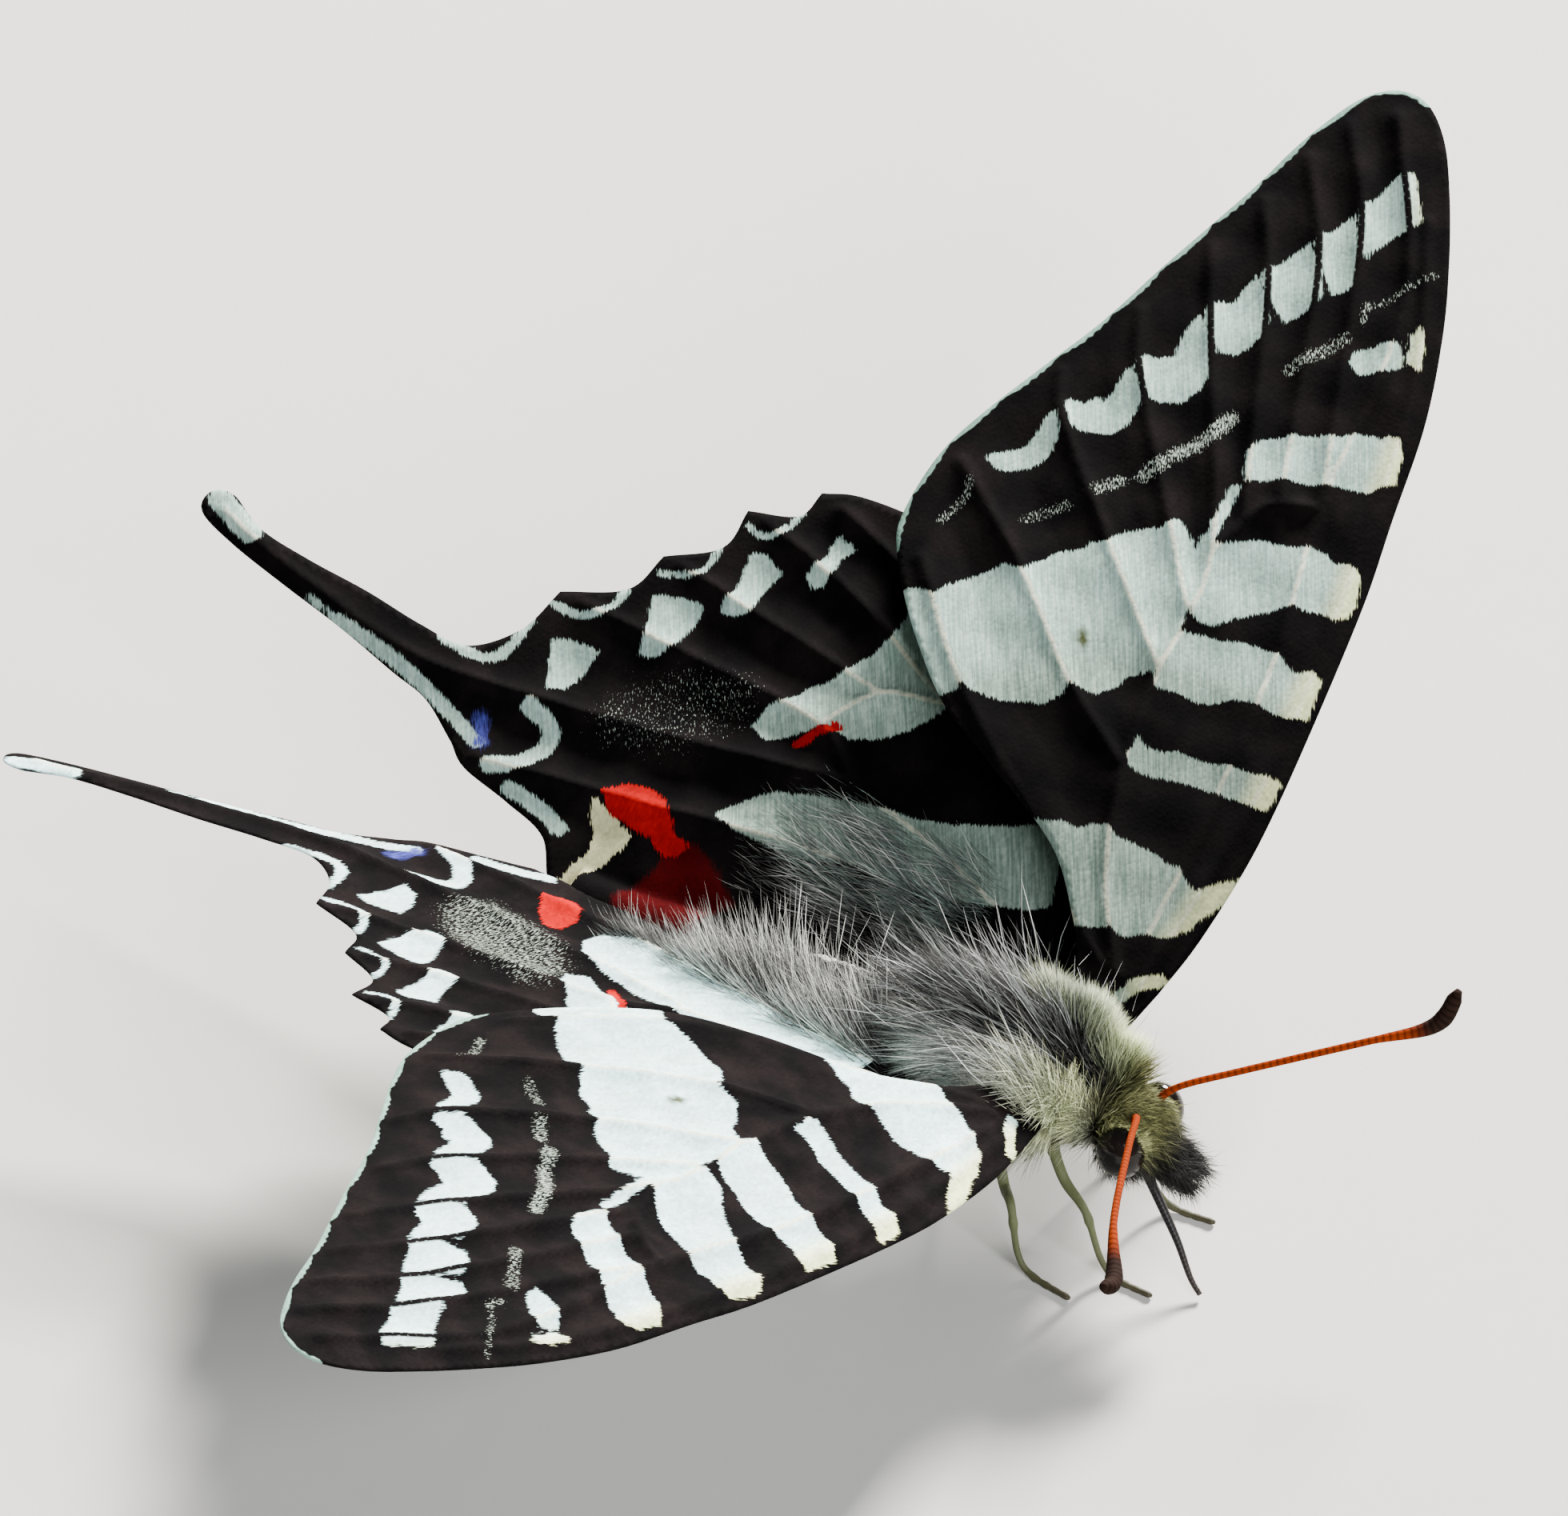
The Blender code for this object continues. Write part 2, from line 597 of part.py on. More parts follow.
def vein_strip(vein, outline):
    """Crest of a vein and the two feet of its ridge, as flat broken lines inside the outline."""
    crest = curve_through(vein, 1)
    length = sum((b - a).length for a, b in zip(crest, crest[1:]))
    crest = curve_through(vein, max(1, round(length / VEIN_STEP / (len(vein) - 1))))
    lines = [[], [], []]
    for i, spot in enumerate(crest):
        along = (crest[min(i + 1, len(crest) - 1)] - crest[max(i - 1, 0)]).normalized()
        across = Vector((-along.y, along.x)) * VEIN_HALF_WIDTH
        for line, place in zip(lines, (spot, spot + across, spot - across)):
            line.append(place)
    return [[p for p in line if inside(p, outline) and reach_to(p, [outline]) > 0.2] for line in lines]


def wing_pattern(wing, slide):
    """Flat triangles of a wing, with an edge along each vein, and how high each point's ridge is."""
    outline = wing_outline(wing, slide)
    rim = outline + [outline[0]]
    strips = [vein_strip(vein, outline) for vein in wing["veins"]]
    crests = [strip[0] for strip in strips]
    points = list(outline)
    edges = [(i, (i + 1) % len(outline)) for i in range(len(outline))]
    for strip in strips:
        for line in strip:
            first = len(points)
            points += line
            edges += [(first + i, first + i + 1) for i in range(len(line) - 1)]
    low_u = min(p.x for p in outline)
    low_v = min(p.y for p in outline)
    columns = int((max(p.x for p in outline) - low_u) / FILL_STEP) + 1
    rows = int((max(p.y for p in outline) - low_v) / FILL_STEP) + 1
    for i in range(columns):
        for j in range(rows):
            spot = Vector((low_u + (i + 0.5 * (j % 2)) * FILL_STEP, low_v + j * FILL_STEP))
            if inside(spot, outline) and reach_to(spot, [rim]) > 1.0 and reach_to(spot, crests) > 1.2:
                points.append(spot)
    flat, _, triangles, _, _, _ = delaunay_2d_cdt(points, edges, [list(range(len(outline)))], 1, 1e-5)
    ridges = []
    for spot in flat:
        near = reach_to(spot, crests)
        fade = min(1.0, reach_to(spot, [rim]) / MARGIN_CLEAR)
        ridges.append(VEIN_HEIGHT * fade * max(0.0, 1.0 - near / VEIN_HALF_WIDTH))
    return flat, triangles, ridges


def build_wing(name, wing, bow, side, slide, materials):
    """One wing: the same triangles above and below, joined by a rim."""
    flat, triangles, ridges = wing_pattern(wing, slide)
    out, forward, upward = wing_axes(wing, side)
    hinge = mirrored(wing["hinge"], side)
    upper = []
    lower = []
    for spot, ridge in zip(flat, ridges):
        middle = hinge + out * (spot.x + slide[0]) + forward * (spot.y + slide[1])
        middle = middle + upward * bow(wing, spot.y)
        half = upward * (WING_THICKNESS / 2 + ridge)
        upper.append(middle + half)
        lower.append(middle - half)
    count = len(flat)
    faces = [tuple(t) for t in triangles] + [tuple(count + k for k in reversed(t)) for t in triangles]
    used = {}
    for triangle in triangles:
        for a, b in zip(triangle, triangle[1:] + triangle[:1]):
            used[(a, b)] = True
    for a, b in used:
        if (b, a) not in used:
            faces.append((b, a, count + a, count + b))
    add_solid(name, upper + lower, faces, materials["wing_pied"])


def build_wings(materials):
    """Both pairs of wings."""
    for side, name in SIDES:
        build_wing("forewing_" + name, FOREWING, forewing_bow, side, (0.0, 0.0), materials)
        build_wing("hindwing_" + name, HINDWING, hindwing_bow, side, HINDWING_SLIDE[side], materials)


def main():
    """Builds the whole animal."""
    clear_scene()
    materials = {name: make_material(name) for name in COLOURS}
    build_thorax(materials)
    build_head(materials)
    build_palps(materials)
    build_tongue(materials)
    build_abdomen(materials)
    build_antennae(materials)
    build_legs(materials)
    build_wings(materials)


main()
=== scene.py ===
"""Looks of the life-size zebra swallowtail: wings with their scales and veins, skin, coat, eyes and limbs.

Lengths in this file are millimetres from the point midway between the forewing roots, unless a
name says otherwise; on a wing they are u, out from the hinge, and v, forward, along its plane.
Angles are degrees.
"""
import json
import logging
import math
from dataclasses import dataclass, replace
from enum import Enum

import bmesh
import bpy
import numpy as np
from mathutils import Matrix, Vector
from mathutils.geometry import delaunay_2d_cdt

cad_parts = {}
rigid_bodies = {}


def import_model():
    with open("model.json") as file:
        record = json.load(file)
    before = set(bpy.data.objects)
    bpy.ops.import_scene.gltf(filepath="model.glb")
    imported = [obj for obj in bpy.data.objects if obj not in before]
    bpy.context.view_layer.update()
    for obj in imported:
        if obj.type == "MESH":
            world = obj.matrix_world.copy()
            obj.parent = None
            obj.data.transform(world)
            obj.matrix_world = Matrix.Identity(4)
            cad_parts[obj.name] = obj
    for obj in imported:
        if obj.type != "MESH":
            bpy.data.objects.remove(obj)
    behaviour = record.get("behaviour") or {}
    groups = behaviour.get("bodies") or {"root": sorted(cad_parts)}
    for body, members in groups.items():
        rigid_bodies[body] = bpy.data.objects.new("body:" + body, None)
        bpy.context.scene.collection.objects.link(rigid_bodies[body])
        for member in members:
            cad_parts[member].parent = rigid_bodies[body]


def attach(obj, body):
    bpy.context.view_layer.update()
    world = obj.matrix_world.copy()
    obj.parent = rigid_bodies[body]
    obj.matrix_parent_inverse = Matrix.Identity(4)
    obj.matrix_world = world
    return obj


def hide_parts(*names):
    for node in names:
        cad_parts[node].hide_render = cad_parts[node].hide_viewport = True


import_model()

LOG = logging.getLogger("swallowtail")
MM = 0.001
ROOT_HEIGHT = 6.7
BODY_SHIFT = -13.64
LEFT = 1
RIGHT = -1
SIDES = ((LEFT, "left"), (RIGHT, "right"))
BAKE_UV = "OFBake"
# Share of the map that one hair takes up.
TUFT_PATCH = 0.003
# Distance that stands for a marking that a wing hasn't got.
UNMARKED = 2.0
# How far a wing's under face lies from its upper one in their pattern.
UNDER_SIDE = 7.0

Points = tuple[tuple[float, ...], ...]


def to_world(points: np.ndarray) -> np.ndarray:
    """Turns body millimetres into metres over the floor."""
    return (np.asarray(points, float) + (0.0, BODY_SHIFT, ROOT_HEIGHT)) * MM


def smooth_step(low: float, high: float, value: np.ndarray) -> np.ndarray:
    """Eased ramp from 0 at low to 1 at high."""
    t = np.clip((value - low) / (high - low), 0.0, 1.0)
    return t * t * (3.0 - 2.0 * t)


def smooth_path(points: Points, spacing: float) -> np.ndarray:
    """Smooth curve through points.

    Args:
        points: The points that the curve passes.
        spacing: Largest distance between two points of the result.

    Returns:
        One row for each point of the curve.
    """
    spots = np.asarray(points, float)
    ends = np.vstack([2 * spots[0] - spots[1], spots, 2 * spots[-1] - spots[-2]])
    rows = []
    for i in range(len(spots) - 1):
        a, b, c, d = ends[i:i + 4]
        count = max(1, math.ceil(float(np.linalg.norm(c - b)) / spacing))
        t = np.arange(count)[:, None] / count
        rows.append(0.5 * (2 * b + (c - a) * t + (2 * a - 5 * b + 4 * c - d) * t ** 2
                           + (3 * b - a - 3 * c + d) * t ** 3))
    return np.vstack(rows + [spots[-1:]])


def line_distance(spots: np.ndarray, line: np.ndarray) -> np.ndarray:
    """Distance from flat spots to a broken line.

    Args:
        spots: One row for each spot.
        line: Corners of the line, in order.

    Returns:
        One distance for each spot.
    """
    best = np.full(len(spots), 1e9)
    for a, b in zip(line, line[1:]):
        span = b - a
        t = np.clip(((spots - a) @ span) / max(float(span @ span), 1e-12), 0.0, 1.0)
        best = np.minimum(best, np.linalg.norm(spots - a - t[:, None] * span, axis=1))
    return best


def inside_outline(spots: np.ndarray, outline: np.ndarray) -> np.ndarray:
    """Whether flat spots lie inside a closed outline.

    Args:
        spots: One row for each spot.
        outline: Corners of the outline, in order.

    Returns:
        One answer for each spot.
    """
    hit = np.zeros(len(spots), bool)
    for a, b in zip(outline, np.roll(outline, 1, axis=0)):
        crossed = (a[1] > spots[:, 1]) != (b[1] > spots[:, 1])
        rise = b[1] - a[1] if b[1] != a[1] else 1e-12
        hit ^= crossed & (spots[:, 0] < a[0] + (b[0] - a[0]) * (spots[:, 1] - a[1]) / rise)
    return hit


def signed_distance(spots: np.ndarray, outline: np.ndarray) -> np.ndarray:
    """Distance to a closed outline, negative inside it."""
    away = line_distance(spots, np.vstack([outline, outline[:1]]))
    return np.where(inside_outline(spots, outline), -away, away)


def place_object(name: str, data: bpy.types.ID) -> bpy.types.Object:
    """Puts a mesh, a light or a camera into the scene, at the origin.

    Args:
        name: Name of the object.
        data: What it holds.

    Returns:
        The new object.
    """
    item = bpy.data.objects.new(name, data)
    bpy.context.collection.objects.link(item)
    return item


def make_object(name: str, points: np.ndarray, faces: list) -> bpy.types.Object:
    """Makes a smooth mesh object from body points and faces.

    Args:
        name: Name of the object and its mesh.
        points: Rows of body millimetres.
        faces: Corner numbers of each face.

    Returns:
        The new object.
    """
    mesh = bpy.data.meshes.new(name)
    mesh.from_pydata(to_world(points).tolist(), [], faces)
    mesh.shade_smooth()
    return place_object(name, mesh)


def face_outwards(mesh: bpy.types.Mesh) -> None:
    """Turns the faces of a closed mesh outwards.

    Args:
        mesh: Mesh to change.
    """
    work = bmesh.new()
    work.from_mesh(mesh)
    bmesh.ops.recalc_face_normals(work, faces=work.faces)
    work.to_mesh(mesh)
    work.free()


def tube_faces(rings: int, sides: int) -> list[tuple[int, ...]]:
    """Walls of a tube whose points are laid out ring after ring."""
    return [(low + k, low + (k + 1) % sides, low + sides + (k + 1) % sides, low + sides + k)
            for low in range(0, (rings - 1) * sides, sides) for k in range(sides)]


def read_all(items: bpy.types.bpy_prop_collection, key: str, width: int = 1,
             kind: type = np.float32) -> np.ndarray:
    """Reads one property of every item.

    Args:
        items: Vertices, faces, corners or the data of an attribute.
        key: Name of the property.
        width: How many numbers each item holds.
        kind: Type of the numbers.

    Returns:
        The numbers, with one row for each item where the width is more than 1.
    """
    values = np.empty(len(items) * width, kind)
    items.foreach_get(key, values)
    return values if width == 1 else values.reshape(-1, width)


def set_values(mesh: bpy.types.Mesh, name: str, values: np.ndarray) -> None:
    """Stores a number, a vector or a colour for each vertex.

    Args:
        mesh: The mesh that gets the attribute.
        name: Name of the attribute.
        values: One row for each vertex.
    """
    values = np.asarray(values, np.float32)
    width = 1 if values.ndim == 1 else values.shape[1]
    kind, key = {1: ("FLOAT", "value"), 3: ("FLOAT_VECTOR", "vector"), 4: ("FLOAT_COLOR", "color")}[width]
    attribute = mesh.attributes.new(name, kind, "POINT")
    attribute.data.foreach_set(key, values.ravel())


def get_vectors(mesh: bpy.types.Mesh, name: str) -> np.ndarray:
    """Vector attribute of a mesh, one row for each vertex."""
    return read_all(mesh.attributes[name].data, "vector", 3)


def body_points(mesh: bpy.types.Mesh) -> np.ndarray:
    """A mesh's vertices in body millimetres."""
    return read_all(mesh.vertices, "co", 3) / MM - (0.0, BODY_SHIFT, ROOT_HEIGHT)


def body_normals(mesh: bpy.types.Mesh) -> np.ndarray:
    """A mesh's vertex normals."""
    return read_all(mesh.vertex_normals, "vector", 3)


def corner_vertices(mesh: bpy.types.Mesh) -> np.ndarray:
    """Number of the vertex at each face corner."""
    return read_all(mesh.loops, "vertex_index", kind=np.int32)


def corner_counts(mesh: bpy.types.Mesh) -> np.ndarray:
    """How many corners each face has."""
    return read_all(mesh.polygons, "loop_total", kind=np.int32)


def store_unwrap(mesh: bpy.types.Mesh, layout: np.ndarray) -> None:
    """Stores the place of each face corner on the map that is baked."""
    layer = mesh.uv_layers.new(name=BAKE_UV)
    layer.data.foreach_set("uv", layout.astype(np.float32).ravel())


class Slot(Enum):
    """Material slots of the record."""

    BLACK = "body_black"
    HAIR = "body_hair"
    EYE = "eye_black"
    ANTENNA = "antenna_rust"
    LEG = "leg_straw"
    WING = "wing_pied"


def mount(piece: bpy.types.Object, material: bpy.types.Material, slot: Slot, *nodes: str) -> None:
    """Gives a finished piece its material and body, and hides the nodes that it stands for.

    Args:
        piece: The finished piece.
        material: Its only material.
        slot: The record's slot for it; not used.
        nodes: Solids that it replaces.
    """
    piece.data.materials.clear()
    piece.data.materials.append(material)
    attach(piece, "root")
    if nodes:
        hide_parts(*nodes)
    LOG.info("%s: %d faces", piece.name, len(piece.data.polygons))


# Finishes


class Shade:
    """Short way to lay out the nodes of one material or group."""

    def __init__(self, tree: bpy.types.NodeTree) -> None:
        """Keeps the tree that the nodes go into."""
        self.tree = tree

    def node(self, kind: str, inputs: dict | None = None, **settings: object) -> bpy.types.Node:
        """Adds a node.

        Args:
            kind: Its type in Blender.
            inputs: Values or output sockets by input name or number.
            settings: Properties of the node itself.

        Returns:
            The new node.
        """
        node = self.tree.nodes.new(kind)
        for key, value in settings.items():
            setattr(node, key, value)
        for key, value in (inputs or {}).items():
            if isinstance(value, bpy.types.NodeSocket):
                self.tree.links.new(value, node.inputs[key])
            else:
                node.inputs[key].default_value = value
        return node

    def math(self, operation: str, a: object, b: object = 0.0) -> bpy.types.NodeSocket:
        """Result of one sum on two numbers or sockets."""
        return self.node("ShaderNodeMath", {0: a, 1: b}, operation=operation).outputs[0]

    def ramp(self, value: object, low: float, high: float, start: float = 0.0,
             end: float = 1.0) -> bpy.types.NodeSocket:
        """Eased ramp of a value.

        Args:
            value: The number or socket that is read.
            low: Where the ramp starts.
            high: Where it ends.
            start: Result up to low.
            end: Result from high on.

        Returns:
            The ramped socket.
        """
        ends = {"From Min": low, "From Max": high, "To Min": start, "To Max": end}
        node = self.node("ShaderNodeMapRange", {"Value": value, **ends}, interpolation_type="SMOOTHSTEP")
        return node.outputs["Result"]

    def mix(self, factor: object, a: object, b: object) -> bpy.types.NodeSocket:
        """Colour between two others.

        Args:
            factor: Share of the second one, a number or a socket.
            a: Colour or socket at 0.
            b: Colour or socket at 1.

        Returns:
            The mixed socket.
        """
        node = self.node("ShaderNodeMix", {}, data_type="RGBA")
        for key, value in ((0, factor), (6, a), (7, b)):
            if isinstance(value, bpy.types.NodeSocket):
                self.tree.links.new(value, node.inputs[key])
            else:
                node.inputs[key].default_value = value if key == 0 else (*value, 1.0)
        return node.outputs[2]

    def scale_colour(self, colour: object, factor: object) -> bpy.types.NodeSocket:
        """Colour or vector made larger or smaller by a factor."""
        return self.node("ShaderNodeVectorMath", {0: colour, "Scale": factor}, operation="SCALE").outputs[0]

    def dot(self, vector: object, direction: tuple[float, float, float]) -> bpy.types.NodeSocket:
        """How far a vector goes in a direction."""
        node = self.node("ShaderNodeVectorMath", {0: vector, 1: direction}, operation="DOT_PRODUCT")
        return node.outputs["Value"]

    def attribute(self, name: str, output: str = "Fac") -> bpy.types.NodeSocket:
        """Output of a named attribute of the piece."""
        return self.node("ShaderNodeAttribute", attribute_name=name).outputs[output]

    def place(self) -> bpy.types.NodeSocket:
        """Object coordinates, in metres."""
        return self.node("ShaderNodeTexCoord").outputs["Object"]

    def noise(self, vector: object, scale: float, detail: float = 2.0) -> bpy.types.NodeSocket:
        """Noise value on a vector."""
        inputs = {"Vector": vector, "Scale": scale, "Detail": detail, "Roughness": 0.55}
        return self.node("ShaderNodeTexNoise", inputs).outputs[0]


def make_group(name: str, inputs: dict[str, tuple[str, object]], outputs: dict[str, str]) -> tuple:
    """Starts a shader node group.

    Args:
        name: Name of the group.
        inputs: Socket type and default value of each input.
        outputs: Socket type of each output.

    Returns:
        The tree, its input node and its output node.
    """
    tree = bpy.data.node_groups.new(name, "ShaderNodeTree")
    for key, (kind, value) in inputs.items():
        socket = tree.interface.new_socket(key, in_out="INPUT", socket_type=kind)
        if value is not None:
            socket.default_value = value
    for key, kind in outputs.items():
        tree.interface.new_socket(key, in_out="OUTPUT", socket_type=kind)
    return tree, tree.nodes.new("NodeGroupInput"), tree.nodes.new("NodeGroupOutput")


class Groups:
    """Effects that several materials share."""

    def __init__(self) -> None:
        """Builds each group once."""
        self.mottle = self._mottle()
        self.scales = self._scales()

    def place_mottle(self, shade: Shade, vector: bpy.types.NodeSocket, coarse: float, fine: float,
                     depth: float) -> bpy.types.Node:
        """Places the mottle in a material, with so many patches and grains in one unit of a vector."""
        inputs = {"Vector": vector, "Coarse": coarse, "Fine": fine, "Depth": depth}
        return shade.node("ShaderNodeGroup", inputs, node_tree=self.mottle)

    def _mottle(self) -> bpy.types.NodeTree:
        """Makes soft light and dark patches and a fine grain, as a factor and a height.

        Returns:
            The finished group.
        """
        tree, start, end = make_group(
            "Mottle", {"Vector": ("NodeSocketVector", None), "Coarse": ("NodeSocketFloat", 900.0),
                       "Fine": ("NodeSocketFloat", 9000.0), "Depth": ("NodeSocketFloat", 0.2)},
            {"Factor": "NodeSocketFloat", "Height": "NodeSocketFloat"})
        shade = Shade(tree)
        vector = start.outputs["Vector"]
        coarse = shade.noise(vector, 1.0, 3.0)
        tree.links.new(start.outputs["Coarse"], coarse.node.inputs["Scale"])
        fine = shade.noise(vector, 1.0, 2.0)
        tree.links.new(start.outputs["Fine"], fine.node.inputs["Scale"])
        both = shade.math("ADD", shade.math("MULTIPLY", coarse, 1.2), shade.math("MULTIPLY", fine, 0.8))
        swing = shade.math("MULTIPLY", shade.math("SUBTRACT", both, 1.0), start.outputs["Depth"])
        tree.links.new(shade.math("ADD", swing, 1.0), end.inputs["Factor"])
        tree.links.new(both, end.inputs["Height"])
        return tree

    def _scales(self) -> bpy.types.NodeTree:
        """Makes rows of tiny overlapping scales, as a tone and a height.

        Returns:
            The finished group.
        """
        tree, start, end = make_group(
            "ScaleRows", {"Vector": ("NodeSocketVector", None), "Size": ("NodeSocketFloat", 7.0)},
            {"Tone": "NodeSocketFloat", "Height": "NodeSocketFloat"})
        shade = Shade(tree)
        flat = shade.node("ShaderNodeVectorMath", {0: start.outputs["Vector"], 1: (0.55, 1.0, 1.0)},
                          operation="MULTIPLY").outputs[0]
        cells = shade.node("ShaderNodeTexVoronoi", {"Vector": flat, "Randomness": 0.75})
        tree.links.new(start.outputs["Size"], cells.inputs["Scale"])
        tree.links.new(shade.ramp(cells.outputs["Distance"], 0.0, 0.8, 1.0, 0.0), end.inputs["Height"])
        tree.links.new(cells.outputs["Color"], end.inputs["Tone"])
        return tree


@dataclass(frozen=True)
class Finish:
    """A material that is the same kind of surface all over."""

    name: str
    roughness: float
    coat: float = 0.0
    specular: float = 0.5

    def start(self) -> tuple[bpy.types.Material, Shade, bpy.types.Node]:
        """Makes the material.

        Returns:
            The material, its node helper and its shader.
        """
        material = bpy.data.materials.new(self.name)
        material.use_nodes = True
        shader = material.node_tree.nodes["Principled BSDF"]
        shader.inputs["Roughness"].default_value = self.roughness
        shader.inputs["Coat Weight"].default_value = self.coat
        shader.inputs["Specular IOR Level"].default_value = self.specular
        return material, Shade(material.node_tree), shader


def finish_bump(shade: Shade, shader: bpy.types.Node, height: bpy.types.NodeSocket, depth: float,
                strength: float) -> None:
    """Feeds a height from 0 to 1 to a shader's normal, as a relief whose depth is in metres."""
    bump = shade.node("ShaderNodeBump", {"Height": height, "Distance": depth, "Strength": strength})
    shade.tree.links.new(bump.outputs[0], shader.inputs["Normal"])


@dataclass(frozen=True)
class WingFinish(Finish):
    """Scaled wing: black and white with cream, red, blue and dusted places."""

    black: Points = ((0.0022, 0.0018, 0.0020), (0.0065, 0.0045, 0.0046))
    white: Points = ((0.68, 0.97, 0.97), (0.58, 0.82, 0.78))
    # Colour of the whites in the hollows between veins: painted shade of the pleats.
    hollow: tuple = (0.36, 0.50, 0.46)
    # Colours of the left wing's whites under painted shade.
    dull: Points = ((0.23, 0.33, 0.27), (0.43, 0.55, 0.46))
    vein: tuple = (0.80, 0.78, 0.58)
    speck: tuple = (0.46, 0.54, 0.45)
    cream: tuple = (0.78, 0.82, 0.44)
    red: tuple = (0.36, 0.001, 0.002)
    # The folded margin's own red, darkened as painted shade.
    maroon: tuple = (0.06, 0.001, 0.002)
    blue: tuple = (0.045, 0.05, 0.24)
    yellow: tuple = (0.66, 0.64, 0.36)
    smudge: tuple = (0.055, 0.06, 0.02)
    fringe: tuple = (0.26, 0.44, 0.35)
    grain: tuple[float, float] = (0.86, -0.51)
    scale_rows: float = 9.0
    relief: float = 0.00002

    def build(self, groups: Groups) -> bpy.types.Material:
        """Makes the material from the wing's own attributes.

        Args:
            groups: Effects that it shares.

        Returns:
            The finished material.
        """
        material, shade, shader = self.start()
        tree = shade.tree
        plane = shade.attribute("plane", "Vector")
        along, across = self.grain
        run = shade.dot(plane, (along, across, 0.31))
        side = shade.dot(plane, (-across, along, 0.77))

        def strokes(length: float, width: float) -> bpy.types.NodeSocket:
            """Noise drawn out along the lie of the scales.

            Args:
                length: Length of a stroke.
                width: Its width.

            Returns:
                The noise, from 0 to 1.
            """
            drawn = shade.node("ShaderNodeCombineXYZ", {0: shade.math("MULTIPLY", run, 1.0 / length),
                                                        1: shade.math("MULTIPLY", side, 1.0 / width)})
            return shade.noise(drawn.outputs[0], 1.0)

        teeth = shade.math("SUBTRACT", strokes(0.5, 0.055), 0.5)
        waves = shade.math("MULTIPLY", shade.math("SUBTRACT", shade.noise(plane, 2.0), 0.5), 0.4)
        ragged = shade.math("ADD", waves, teeth)
        fine = strokes(0.17, 0.042)
        scales = shade.node("ShaderNodeGroup", {"Vector": plane, "Size": self.scale_rows},
                            node_tree=groups.scales)
        mottle = groups.place_mottle(shade, plane, 0.8, 7.0, 0.5)

        def edge(name: str, rough: float, soft: float = 0.03) -> bpy.types.NodeSocket:
            """Mask that is 1 inside a marking, with a ragged edge."""
            away = shade.math("ADD", shade.attribute(name), shade.math("MULTIPLY", ragged, rough))
            return shade.ramp(away, -soft, soft, 1.0, 0.0)

        base = shade.mix(shade.ramp(shade.noise(plane, 0.5), 0.35, 0.7), *self.black)
        dust = shade.math("ADD", shade.attribute("dust"), fine)
        # The dust marks show more strongly on the left wing, which carries painted shade.
        dusted = shade.ramp(shade.attribute("dull"), 0.0, 1.0, 0.7, 0.9)
        colour = shade.mix(shade.math("MULTIPLY", shade.ramp(dust, 1.0, 1.1), dusted), base, self.speck)
        pale = shade.mix(shade.ramp(strokes(1.6, 0.4), 0.3, 0.7), *self.white)
        # Painted shade: the whites darken in the hollows between veins.
        pale = shade.mix(shade.math("MULTIPLY", shade.attribute("fold"), 0.42), pale, self.hollow)
        # Painted shade: the left wing's whites turn a darker grey-green.
        painted_shade_pale = shade.mix(shade.ramp(strokes(1.8, 0.09), 0.35, 0.66), *self.dull)
        pale = shade.mix(shade.math("MULTIPLY", shade.attribute("dull"), 0.8), pale, painted_shade_pale)
        pale = shade.mix(shade.attribute("cream"), pale, self.cream)
        pale = shade.mix(shade.ramp(shade.attribute("vein"), 0.05, 0.13, 0.7, 0.0), pale, self.vein)
        pale = shade.mix(shade.attribute("smudge"), pale, self.smudge)
        uncut = shade.ramp(shade.attribute("gap"), 0.0, 0.07, 1.0, 0.0)
        shown = shade.math("MULTIPLY", edge("white", 0.42, 0.045), uncut)
        colour = shade.mix(shown, colour, pale)
        colour = shade.mix(edge("yellow", 0.5), colour, self.yellow)
        colour = shade.mix(edge("blue", 0.9, 0.2), colour, self.blue)
        # The left hindwing's folded margin: its own red, darkened as painted shade.
        colour = shade.mix(edge("maroon", 0.6, 0.15), colour, self.maroon)
        colour = shade.mix(edge("red", 0.5), colour, self.red)
        bordered = shade.ramp(shade.attribute("fringe"), -0.03, 0.03, 0.85, 0.0)
        colour = shade.mix(bordered, colour, self.fringe)
        # Painted shade: the left wing is darkened as a whole, most towards its base.
        colour = shade.scale_colour(colour, shade.ramp(shade.attribute("dull"), 0.0, 2.0, 1.0, 0.34))
        tone = shade.ramp(scales.outputs["Tone"], 0.0, 1.0, 0.84, 1.1)
        colour = shade.scale_colour(colour, shade.math("MULTIPLY", tone, mottle.outputs["Factor"]))
        tree.links.new(colour, shader.inputs["Base Color"])
        finish_bump(shade, shader, scales.outputs["Height"], self.relief, 0.35)
        return material


@dataclass(frozen=True)
class CoatFinish(Finish):
    """Skin or hair that takes its markings from the body's tint."""

    root: float = 0.3
    hair: bool = True
    contrast: float = 2.1
    dark_share: float = 0.4
    relief: float = 0.00004

    def build(self, groups: Groups) -> bpy.types.Material:
        """Makes the material: the tint, darker towards the root of a hair.

        Args:
            groups: Effects that it shares.

        Returns:
            The finished material.
        """
        material, shade, shader = self.start()
        mottle = groups.place_mottle(shade, shade.place(), 1500.0, 8000.0, 0.5)
        tint = shade.attribute("tint", "Color")
        if self.hair:
            tint = shade.scale_colour(tint, shade.ramp(shade.attribute("along"), 0.0, 0.85, self.root, 1.1))
            light = shade.math("POWER", shade.attribute("strand"), 2.6)
            light = shade.math("ADD", shade.math("MULTIPLY", light, self.contrast), self.dark_share)
            tint = shade.scale_colour(tint, light)
        else:
            tint = shade.scale_colour(tint, self.root)
        tint = shade.scale_colour(tint, mottle.outputs["Factor"])
        shade.tree.links.new(tint, shader.inputs["Base Color"])
        if not self.hair:
            finish_bump(shade, shader, mottle.outputs["Height"], self.relief, 0.5)
        return material


